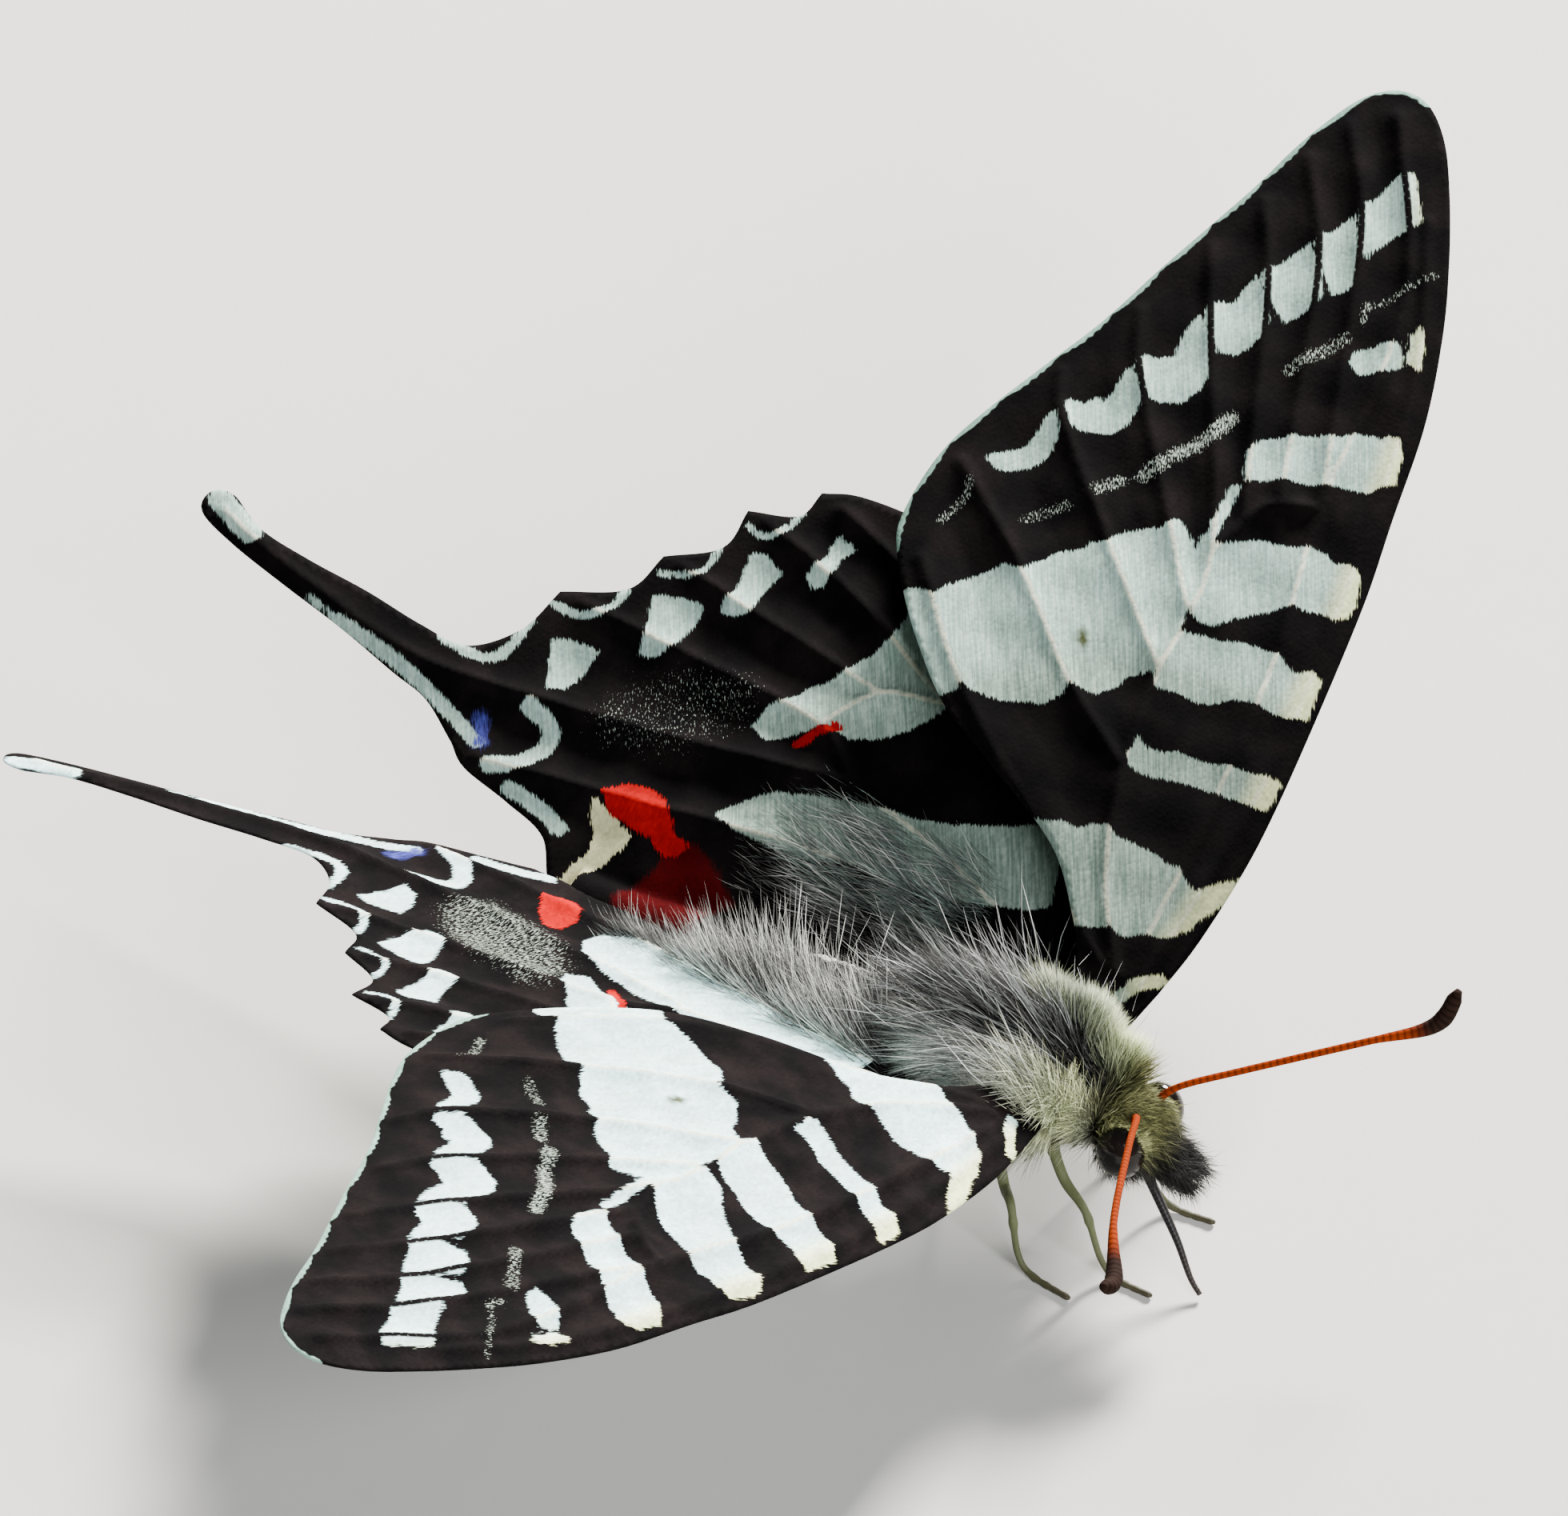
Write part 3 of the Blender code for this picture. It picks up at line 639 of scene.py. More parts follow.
@dataclass(frozen=True)
class LimbFinish(Finish):
    """Limb with one colour along its length turning into another, with fine rings or grain."""

    colours: Points = ((0.4, 0.4, 0.3), (0.1, 0.1, 0.1))
    turn: tuple[float, float] = (0.8, 0.9)
    rings: float = 0.0
    relief: float = 0.00003

    def build(self, groups: Groups) -> bpy.types.Material:
        """Makes the material from how far along the limb a place is.

        Args:
            groups: Effects that it shares.

        Returns:
            The finished material.
        """
        material, shade, shader = self.start()
        mottle = groups.place_mottle(shade, shade.place(), 1200.0, 9000.0, 0.5)
        colour = shade.mix(shade.ramp(shade.attribute("along"), *self.turn), *self.colours)
        height = mottle.outputs["Height"]
        if self.rings:
            wave = shade.math("SINE", shade.math("MULTIPLY", shade.attribute("reach"), self.rings))
            band = shade.ramp(wave, -0.9, 0.2, 0.55, 1.0)
            colour = shade.scale_colour(colour, band)
            height = shade.math("ADD", shade.math("MULTIPLY", height, 0.3), band)
        colour = shade.scale_colour(colour, mottle.outputs["Factor"])
        shade.tree.links.new(colour, shader.inputs["Base Color"])
        finish_bump(shade, shader, height, self.relief, 0.5)
        return material


@dataclass(frozen=True)
class EyeFinish(Finish):
    """Glossy compound eye with faint facets."""

    colours: Points = ((0.002, 0.002, 0.002), (0.010, 0.006, 0.005))
    facets: float = 14000.0
    relief: float = 0.00001

    def build(self, groups: Groups) -> bpy.types.Material:
        """Makes the material: near black with a brown cast, and a facet relief.

        Args:
            groups: Effects that it shares.

        Returns:
            The finished material.
        """
        material, shade, shader = self.start()
        place = shade.place()
        facets = shade.node("ShaderNodeTexVoronoi",
                            {"Vector": place, "Scale": self.facets, "Randomness": 0.15})
        mottle = groups.place_mottle(shade, place, 1400.0, 9000.0, 0.6)
        colour = shade.mix(shade.ramp(shade.noise(place, 900.0), 0.4, 0.65), *self.colours)
        colour = shade.scale_colour(colour, mottle.outputs["Factor"])
        shade.tree.links.new(colour, shader.inputs["Base Color"])
        finish_bump(shade, shader, facets.outputs["Distance"], self.relief, 0.4)
        return material


@dataclass(frozen=True)
class FloorFinish(Finish):
    """Plain pale floor."""

    colour: tuple = (0.50, 0.48, 0.45)

    def build(self, groups: Groups) -> bpy.types.Material:
        """Makes the material: warm white with a very faint unevenness.

        Args:
            groups: Effects that it shares.

        Returns:
            The finished material.
        """
        material, shade, shader = self.start()
        mottle = groups.place_mottle(shade, shade.place(), 30.0, 600.0, 0.04)
        colour = shade.scale_colour(self.colour, mottle.outputs["Factor"])
        shade.tree.links.new(colour, shader.inputs["Base Color"])
        return material


# Wings


class Mark(Enum):
    """Kinds of marking on a wing."""

    WHITE = "white"
    YELLOW = "yellow"
    RED = "red"
    MAROON = "maroon"
    # Red darkened as painted shade, on a folded margin.
    BLUE = "blue"
    DUST = "dust"


@dataclass(frozen=True)
class Patch:
    """Closed marking on a wing.

    A dust patch covers a share of the black and fades over its soft width. A white one may stop
    short of the veins by a gap.
    """

    mark: Mark
    points: Points
    cover: float = 0.5
    soft: float = 0.3
    gap: float = 0.0

    def distance(self, spots: np.ndarray) -> np.ndarray:
        """Distance to the marking, negative inside it."""
        return signed_distance(spots, np.asarray(self.points, float))


@dataclass(frozen=True)
class Streak:
    """Marking along a line, of one width."""

    mark: Mark
    points: Points
    half_width: float
    cover: float = 0.5
    soft: float = 0.3

    def distance(self, spots: np.ndarray) -> np.ndarray:
        """Distance to the marking, negative inside it."""
        return line_distance(spots, smooth_path(self.points, 0.4)) - self.half_width


@dataclass(frozen=True)
class WingPlan:
    """Place, curve, outline, veins and markings of a wing."""

    hinge: tuple[float, float, float]
    dihedral: float
    nose_down: float
    chord: float
    crown: float
    root: tuple[float, float]
    outline: tuple[Points, ...]
    veins: tuple[Points, ...]
    marks: tuple[Patch | Streak, ...]
    under_marks: tuple[Patch | Streak, ...] = ()
    left_marks: tuple[Patch | Streak, ...] = ()
    right_marks: tuple[Patch | Streak, ...] = ()
    smudges: Points = ()
    sunk: tuple[float, float] = (-0.9, -1.1)

    def bow(self, v: np.ndarray) -> np.ndarray:
        """Height of the surface over its plane."""
        raise NotImplementedError

    def drop(self, spots: np.ndarray, side: int) -> np.ndarray:
        """How far a folded margin hangs under the plane."""
        return np.zeros(len(spots))

    def axes(self, side: int) -> tuple[np.ndarray, np.ndarray, np.ndarray]:
        """Directions of the wing on one side.

        Args:
            side: LEFT or RIGHT.

        Returns:
            Out, forward and upward, each one long.
        """
        rise = math.radians(self.dihedral)
        pitch = math.radians(self.nose_down)
        out = np.array((side * math.cos(rise), 0.0, math.sin(rise)))
        flat_up = np.array((-side * math.sin(rise), 0.0, math.cos(rise)))
        forward = np.array((0.0, -math.cos(pitch), 0.0)) - flat_up * math.sin(pitch)
        upward = np.array((0.0, -math.sin(pitch), 0.0)) + flat_up * math.cos(pitch)
        return out, forward, upward

    def edge(self, spacing: float) -> np.ndarray:
        """Closed outline, with the root edge carried on into the thorax.

        Args:
            spacing: Largest distance between two points.

        Returns:
            Points in the wing's plane, in order.
        """
        runs = [smooth_path(run, spacing)[:-1] for run in self.outline]
        front, rear = self.root
        end, deepest = self.sunk
        root = ((end, rear + 0.3), (deepest, (rear + front) / 2), (end, front))
        return np.vstack(runs + [self.outline[-1][-1:], smooth_path(root, spacing)])


class ForewingPlan(WingPlan):
    """Wing whose surface is crowned across its chord."""

    def bow(self, v: np.ndarray) -> np.ndarray:
        """Height of the surface over its plane."""
        t = -v / self.chord
        return 4.0 * self.crown * t * (1.0 - t)


class HindwingPlan(WingPlan):
    """Wing that rises behind its hinge, then runs level, and whose inner margin folds down.

    A fold line holds pairs of v and the u that the margin hangs down from. The right margin is
    turned far down, the left one hardly.
    """

    TURNED = 1.0
    FOLDED = 0.07
    STEEPENING = 1.3
    ABDOMEN_GAP = {LEFT: 0.42, RIGHT: 0.16}
    FOLD_LINE = ((-4.2, 0.5), (-7.5, 0.3), (-11.0, -0.4), (-14.0, -1.2), (-16.5, -2.2), (-19.2, -2.4),
                 (-22.0, -1.6))
    TURNED_LINE = ((-4.2, -0.9), (-7.5, -1.5), (-11.0, -1.8), (-14.0, -2.0), (-16.5, -2.3), (-19.2, -2.4),
                   (-22.0, -1.6))

    def bow(self, v: np.ndarray) -> np.ndarray:
        """Height of the surface over its plane."""
        return self.crown * smooth_step(0.0, self.chord, -v)

    def drop(self, spots: np.ndarray, side: int) -> np.ndarray:
        """How far the folded margin hangs under the plane: the right one is tucked under the left one.

        Args:
            spots: Points in the wing's plane.
            side: LEFT or RIGHT.

        Returns:
            One depth for each spot.
        """
        fold, depth = (self.TURNED_LINE, self.TURNED) if side == RIGHT else (self.FOLD_LINE, self.FOLDED)
        places, line = zip(*reversed(fold))
        past = np.maximum(0.0, np.interp(spots[:, 1], places, line) - spots[:, 0])
        return depth * past ** self.STEEPENING * smooth_step(3.5, 5.5, -spots[:, 1])


def white(*points: tuple[float, float]) -> Patch:
    """White patch through some points."""
    return Patch(Mark.WHITE, points)


def square(*points: tuple[float, float]) -> Patch:
    """White patch that stops short of the veins."""
    return Patch(Mark.WHITE, points, gap=0.16)


FOREWING = ForewingPlan(
    hinge=(3.3, 0.0, 0.2), dihedral=15.8, nose_down=13.5, chord=13.0, crown=0.75, root=(0.6, -1.5),
    outline=(
        ((1.2, 0.9), (3.5, 1.1), (6.6, 1.1), (9.2, 0.9), (13.0, 0.4), (17.5, -0.3), (20.7, -1.0),
         (24.4, -1.8), (27.6, -2.9), (30.0, -4.0), (32.2, -5.2), (34.0, -6.4), (35.0, -7.6), (35.0, -8.7),
         (34.2, -9.6), (32.9, -10.2), (31.3, -10.7), (29.5, -11.1), (27.4, -11.7), (25.0, -12.4),
         (22.4, -13.1), (20.0, -14.0), (17.6, -14.9), (15.8, -15.4), (14.0, -15.5), (12.3, -15.3),
         (11.3, -14.8)),
        ((11.3, -14.8), (10.2, -14.0), (8.6, -12.6), (6.7, -10.5), (5.3, -7.8), (3.7, -4.6), (1.4, -2.4)),
    ),
    veins=(
        ((0.9, 0.3), (10.0, 0.1), (19.0, -1.3), (26.0, -3.0), (31.0, -5.4)),
        ((0.9, -0.2), (8.0, -0.9), (14.0, -1.8), (19.6, -3.2), (28.0, -4.6), (34.0, -8.2)),
        ((19.6, -3.2), (29.2, -7.0), (33.0, -9.5)),
        ((19.6, -3.2), (18.6, -4.8), (16.2, -5.5)),
        ((18.9, -4.4), (27.5, -7.7), (31.2, -10.1)),
        ((17.8, -5.2), (25.6, -8.6), (29.0, -10.6)),
        ((0.9, -0.7), (3.9, -2.7), (7.5, -4.1), (11.1, -4.8), (16.2, -5.5), (23.3, -9.5), (26.6, -11.3)),
        ((13.9, -5.2), (20.7, -10.7), (23.3, -12.2)),
        ((11.4, -4.9), (14.4, -8.3), (18.2, -12.3), (20.0, -13.4)),
        ((7.5, -4.1), (9.3, -7.1), (12.4, -10.7), (15.4, -14.7)),
        ((0.9, -1.2), (2.4, -3.6), (4.4, -6.2), (7.6, -10.4), (11.4, -14.0)),
    ),
    marks=(
        square((30.0, -7.5), (30.4, -7.6), (30.9, -7.3), (31.6, -7.2), (32.0, -7.1), (32.4, -6.7),
               (31.5, -6.0), (30.9, -5.6), (30.4, -5.8), (29.9, -6.1), (29.1, -6.4), (28.6, -6.5),
               (29.2, -7.0)),
        square((28.3, -8.2), (28.7, -8.3), (28.9, -8.0), (29.5, -7.8), (29.9, -7.6), (28.9, -6.9),
               (27.6, -6.3), (27.3, -6.4), (26.9, -6.8), (27.5, -7.5)),
        square((26.4, -9.2), (26.7, -9.3), (26.9, -8.9), (27.3, -8.8), (27.8, -8.6), (28.2, -8.4),
               (27.6, -7.8), (26.8, -7.1), (26.3, -7.1), (25.5, -7.4), (25.1, -7.7), (25.8, -8.8)),
        square((24.1, -10.2), (24.5, -10.2), (24.8, -9.9), (24.9, -9.5), (25.5, -9.5), (26.2, -9.4),
               (26.0, -9.0), (24.8, -8.1), (24.1, -8.1), (23.6, -8.2), (23.2, -8.5), (23.0, -9.0),
               (23.5, -9.6)),
        square((21.4, -11.3), (21.8, -11.1), (21.9, -10.7), (22.2, -10.3), (22.9, -10.4), (23.5, -10.4),
               (24.0, -10.3), (23.7, -9.9), (22.3, -8.9), (21.6, -8.8), (20.8, -9.1), (20.4, -9.8),
               (20.3, -10.2), (20.8, -10.8)),
        square((18.9, -12.7), (19.1, -12.6), (19.2, -12.1), (19.7, -11.8), (19.6, -11.5), (20.0, -11.4),
               (20.5, -11.4), (21.1, -11.4), (20.9, -11.0), (20.2, -10.4), (19.7, -10.3), (19.0, -10.4),
               (18.5, -10.7), (18.3, -11.3), (18.1, -11.8), (18.4, -12.2)),
        square((15.9, -14.0), (16.2, -13.8), (16.5, -13.4), (17.0, -12.9), (17.5, -12.9), (18.1, -12.9),
               (18.5, -12.8), (18.2, -12.5), (17.7, -12.2), (17.0, -12.1), (16.5, -12.2), (16.1, -12.5),
               (15.8, -12.9), (15.6, -13.4)),
        white((24.9, -5.1), (25.4, -5.1), (25.8, -4.7), (26.2, -4.4), (26.5, -3.9), (25.8, -3.5),
              (25.3, -3.8), (24.7, -4.6)),
        white((26.0, -3.4), (26.9, -3.8), (27.4, -3.7), (27.3, -3.5), (26.4, -3.0), (25.9, -2.9)),
        white((19.1, -5.8), (19.3, -6.0), (20.0, -6.3), (20.4, -6.3), (20.8, -6.1), (21.1, -5.7),
              (21.7, -5.0), (22.3, -3.9), (22.7, -3.5), (23.1, -2.9), (23.0, -2.7), (23.3, -2.6),
              (23.3, -2.2), (23.0, -1.9), (22.4, -1.7), (21.9, -1.6), (21.5, -1.9), (21.2, -2.0),
              (21.0, -2.4), (20.4, -3.6), (19.9, -4.7), (19.3, -5.6)),
        white((16.3, -5.6), (16.9, -5.0), (17.5, -4.4), (17.9, -3.2), (18.2, -2.7), (18.3, -2.3),
              (18.2, -1.8), (18.4, -1.5), (18.3, -0.9), (17.9, -0.7), (17.3, -0.5), (16.8, -0.5),
              (16.3, -0.8), (16.4, -1.2), (16.0, -2.1), (15.5, -2.7), (15.0, -3.2), (14.5, -3.7),
              (14.1, -3.9), (13.8, -4.2), (13.7, -4.6), (13.8, -5.0), (14.5, -5.4), (15.2, -5.5)),
        white((12.6, -5.1), (13.0, -4.9), (13.3, -4.4), (13.5, -3.7), (13.9, -3.0), (14.0, -2.5),
              (14.1, -1.7), (13.9, -0.9), (14.3, -0.6), (14.2, -0.1), (13.7, 0.0), (13.2, 0.1), (12.7, 0.2),
              (12.3, -0.4), (12.2, -1.1), (11.9, -2.2), (11.3, -2.8), (11.1, -3.4), (11.0, -4.0),
              (10.7, -4.6), (11.3, -5.0)),
        white((9.4, -14.4), (10.3, -13.6), (10.2, -12.8), (10.7, -12.7), (11.3, -12.2), (12.1, -11.5),
              (12.4, -11.4), (12.4, -10.6), (12.8, -10.5), (13.2, -10.2), (13.6, -10.0), (14.2, -9.2),
              (14.5, -9.2), (14.7, -8.7), (15.0, -8.6), (15.4, -8.4), (15.8, -7.9), (16.0, -7.5),
              (16.3, -7.3), (16.7, -7.1), (16.6, -6.8), (16.3, -6.4), (16.0, -6.0), (16.5, -6.1),
              (16.3, -5.5), (14.9, -5.3), (13.7, -5.1), (12.7, -4.9), (11.4, -4.8), (11.1, -5.1),
              (10.6, -5.7), (10.2, -5.7), (9.8, -6.0), (9.4, -6.3), (9.4, -7.2), (8.9, -7.2), (8.2, -7.6),
              (8.1, -8.1), (7.7, -8.9), (7.5, -10.0), (7.7, -10.4), (7.3, -10.3), (6.8, -10.9),
              (6.4, -11.6)),
        white((7.7, -4.0), (8.0, -4.2), (8.4, -4.2), (8.8, -4.2), (8.7, -3.9), (8.8, -3.4), (9.2, -2.8),
              (9.3, -1.9), (9.5, -1.4), (9.7, -0.9), (9.9, -0.3), (10.1, 0.2), (10.3, 0.6), (9.4, 0.7),
              (9.0, 0.6), (8.8, 0.2), (8.8, -0.3), (8.5, -1.0), (8.4, -1.6), (8.2, -2.4), (7.9, -3.1),
              (7.7, -3.6)),
        white((3.6, -7.5), (4.1, -6.9), (4.1, -6.3), (4.3, -5.7), (4.6, -5.1), (4.8, -4.9), (4.8, -4.3),
              (5.2, -4.0), (5.4, -3.5), (5.2, -3.1), (5.3, -2.7), (5.4, -2.3), (5.5, -1.8), (5.4, -1.2),
              (5.4, -0.7), (5.1, -0.1), (5.0, 0.2), (5.4, 0.4), (6.1, 0.8), (6.5, 1.1), (5.7, 1.2),
              (4.8, 1.0), (4.4, 0.8), (3.7, 0.6), (3.1, 0.3), (2.8, -0.1), (2.5, -0.7), (2.2, -1.0),
              (2.2, -1.5), (1.8, -2.3), (1.5, -2.8), (1.3, -3.3), (1.3, -4.3), (1.2, -5.0), (2.2, -6.1)),
        Streak(Mark.WHITE, ((18.7, -6.0), (17.6, -5.9), (16.4, -5.75)), 0.17),
        Streak(Mark.WHITE, ((0.3, -0.1), (1.0, 0.2), (1.7, 0.8)), 0.2),
        Streak(Mark.DUST, ((26.5, -5.4), (27.2, -5.6)), 0.26, 0.53),
        Streak(Mark.DUST, ((27.2, -5.4), (27.8, -5.0), (28.6, -4.7), (29.4, -4.2)), 0.26, 0.5),
        Streak(Mark.DUST, ((23.6, -6.6), (24.2, -6.4), (24.8, -6.0), (25.6, -5.6)), 0.4, 0.49),
        Streak(Mark.DUST, ((18.8, -8.4), (19.2, -8.1), (19.7, -7.8), (20.4, -7.6), (21.0, -7.4)),
               0.42, 0.55),
        Streak(Mark.DUST, ((17.6, -8.9), (18.3, -8.6)), 0.45, 0.52),
        Streak(Mark.DUST, ((16.4, -10.0), (17.1, -9.5)), 0.42, 0.5),
        Streak(Mark.DUST, ((14.3, -11.6), (15.4, -10.6)), 0.36, 0.48),
        Streak(Mark.DUST, ((13.0, -14.1), (13.7, -13.9), (14.2, -13.8), (14.8, -14.0)), 0.28, 0.53),
    ),
    smudges=((11.15, -7.65),),
)

HINDWING_SLIDE = (0.45, -0.4)
DUSTED_FIELD = ((3.0, -19.4), (1.4, -18.9), (0.2, -17.9), (0.9, -15.4), (1.6, -13.9), (3.6, -12.5),
                (5.6, -12.3), (6.6, -13.5), (6.2, -15.2), (5.8, -16.8), (4.6, -18.3))

HINDWING = HindwingPlan(
    hinge=(3.3, 3.0, -0.15), dihedral=20.0, nose_down=0.0, chord=12.0, crown=0.9, root=(0.3, -2.4),
    outline=(
        ((-0.9, 1.2), (0.3, 2.3), (2.2, 2.3), (4.8, 1.2), (8.0, -1.1), (11.0, -4.4), (12.8, -8.0),
         (13.3, -11.5), (13.3, -14.0), (12.9, -15.3)),
        ((12.9, -15.3), (11.8, -15.6), (11.3, -17.3)),
        ((11.3, -17.3), (9.7, -17.4), (8.6, -19.1)),
        ((8.6, -19.1), (7.0, -19.6), (6.0, -21.7)),
        ((6.0, -21.7), (4.2, -22.2), (2.9, -23.6), (3.0, -25.5), (3.4, -27.8), (3.7, -30.3), (4.1, -32.4),
         (4.9, -33.9), (4.7, -34.7), (3.9, -34.6), (3.2, -33.0), (2.5, -30.6), (1.8, -28.0), (1.0, -25.5),
         (0.5, -23.9), (-0.6, -22.3)),
        ((-0.6, -22.3), (-1.3, -21.4), (-1.9, -19.4), (-2.6, -17.6), (-4.2, -16.4), (-4.6, -14.5),
         (-4.6, -11.5), (-4.0, -8.0), (-2.4, -4.6)),
    ),
    veins=(
        ((0.9, 0.0), (5.0, -1.6), (9.5, -7.0), (12.6, -14.3)),
        ((5.0, -1.6), (7.4, -7.4), (9.6, -12.0), (11.2, -16.6)),
        ((7.4, -7.4), (6.8, -9.6), (4.9, -10.9)),
        ((6.8, -9.6), (7.6, -14.0), (8.5, -18.4)),
        ((0.9, -1.0), (2.4, -5.0), (3.4, -8.6), (4.9, -10.9), (5.4, -15.5), (5.9, -20.9)),
        ((3.4, -8.6), (2.6, -14.0), (2.0, -20.0), (1.8, -25.0), (2.9, -30.0), (4.2, -33.8)),
        ((0.5, -2.0), (0.6, -8.0), (-0.2, -15.0), (-0.9, -21.3)),
    ),
    marks=(
        white((4.3, -21.1), (4.5, -20.5), (4.5, -19.3), (3.5, -19.4), (2.7, -19.7), (2.5, -20.3),
              (3.4, -20.7)),
        white((7.1, -18.7), (7.3, -18.3), (7.5, -16.9), (6.7, -16.8), (5.6, -17.0), (5.0, -17.4),
              (4.9, -18.0), (5.7, -18.2)),
        white((9.9, -16.4), (10.0, -15.9), (9.6, -15.0), (8.6, -15.3), (7.8, -15.2), (7.4, -15.7),
              (7.4, -16.2), (7.8, -16.3), (8.3, -16.1)),
        white((11.7, -14.0), (11.4, -13.1), (11.0, -13.4), (9.7, -13.4), (9.5, -13.7), (9.8, -14.2),
              (10.7, -13.9)),
        white((4.0, -13.1), (4.8, -12.9), (5.4, -12.3), (6.0, -12.0), (6.6, -11.4), (7.4, -11.0),
              (8.1, -10.6), (8.8, -10.3), (10.0, -10.3), (11.6, -9.0), (13.4, -6.0), (11.0, -3.5),
              (8.6, -4.6), (7.6, -7.1), (6.9, -7.6), (6.1, -8.1), (5.3, -9.0), (4.9, -9.8), (4.9, -10.7),
              (4.4, -11.4), (3.7, -12.3)),
        white((0.4, -12.6), (1.0, -12.2), (1.6, -11.7), (2.1, -11.1), (2.5, -9.8), (2.9, -8.1), (3.1, -6.6),
              (3.6, -5.1), (4.4, -3.4), (5.2, -1.6), (2.2, -0.6), (1.3, -2.5), (1.1, -4.3), (0.8, -6.0),
              (0.6, -7.8), (0.2, -9.0), (0.1, -10.0), (0.1, -11.4)),
        Streak(Mark.WHITE, ((10.8, -17.0), (10.6, -16.4), (10.8, -15.9), (11.3, -15.7), (11.9, -15.5)),
               0.11),
        Streak(Mark.WHITE, ((8.0, -18.9), (8.1, -18.3), (8.4, -17.7), (8.9, -17.5), (9.8, -17.5)), 0.11),
        Streak(Mark.WHITE, ((5.5, -21.7), (5.4, -20.8), (5.6, -20.2), (6.1, -19.8), (6.9, -19.6)), 0.14),
        Streak(Mark.WHITE, ((2.9, -24.6), (2.7, -23.6), (2.7, -22.9), (3.0, -22.4), (3.6, -22.2),
                            (4.6, -22.1)), 0.18),
        Streak(Mark.WHITE, ((-0.9, -20.6), (-0.5, -19.8), (0.4, -19.2), (1.2, -19.4), (1.6, -20.4)), 0.3),
        Streak(Mark.WHITE, ((-1.4, -19.6), (-1.6, -18.6), (-1.8, -17.9), (-2.1, -17.2)), 0.26),
        Streak(Mark.WHITE, ((-0.3, -21.4), (0.3, -22.7), (0.9, -24.2), (1.4, -25.6), (1.7, -26.8),
                            (2.0, -28.2)), 0.24),
        Streak(Mark.WHITE, ((2.0, -28.2), (2.4, -29.6)), 0.12),
        Streak(Mark.WHITE, ((4.6, -34.3), (4.1, -33.3), (3.8, -32.6)), 0.4),
        Streak(Mark.RED, ((4.0, -11.3), (4.6, -10.9), (5.1, -10.3)), 0.17),
        Streak(Mark.BLUE, ((0.6, -21.8), (0.2, -21.6), (-0.3, -21.3)), 0.2),
    ),
    under_marks=(
        Streak(Mark.RED, ((4.6, -12.4), (4.4, -9.0), (5.4, -5.6), (7.0, -3.2)), 0.24),
    ),
    left_marks=(
        Patch(Mark.DUST, DUSTED_FIELD, 0.4, 1.6),
        Patch(Mark.YELLOW, ((-0.6, -16.7), (-0.7, -16.3), (-0.9, -15.7), (-1.4, -14.8), (-2.0, -14.9),
                            (-2.6, -15.2), (-3.4, -15.6), (-4.4, -15.9), (-4.2, -16.4), (-3.1, -16.2),
                            (-2.5, -15.9), (-1.9, -16.0), (-1.2, -16.5))),
        Patch(Mark.RED, ((-0.3, -16.5), (0.3, -15.9), (0.5, -15.0), (0.3, -14.4), (-0.2, -13.9),
                         (-0.7, -13.5), (-0.9, -12.8), (-1.4, -13.0), (-1.6, -13.5), (-1.2, -14.2),
                         (-1.1, -15.0), (-0.9, -16.0))),
        # Red of the folded margin, darkened as painted shade.
        Patch(Mark.MAROON, ((-1.5, -13.4), (-1.0, -13.1), (-0.8, -12.6), (-1.2, -11.8), (-1.7, -11.1),
                            (-2.2, -10.4), (-3.0, -11.0), (-4.6, -11.0), (-4.6, -12.3), (-4.6, -13.8),
                            (-3.9, -14.2), (-2.9, -13.8), (-2.1, -13.5))),
    ),
    right_marks=(
        Patch(Mark.DUST, DUSTED_FIELD, 0.49, 1.3),
        Patch(Mark.RED, ((-0.7, -15.1), (0.3, -14.8), (1.0, -15.0), (1.1, -15.6), (0.6, -16.1),
                         (-0.3, -16.5), (-1.1, -16.3), (-1.2, -15.7))),
        white((1.2, -14.0), (2.5, -13.3), (3.2, -12.2), (3.7, -10.4), (3.8, -8.0), (3.7, -6.0), (3.4, -4.2),
              (0.4, -3.0), (0.2, -6.0), (0.0, -9.0), (0.1, -12.0), (0.5, -13.6)),
    ),
)


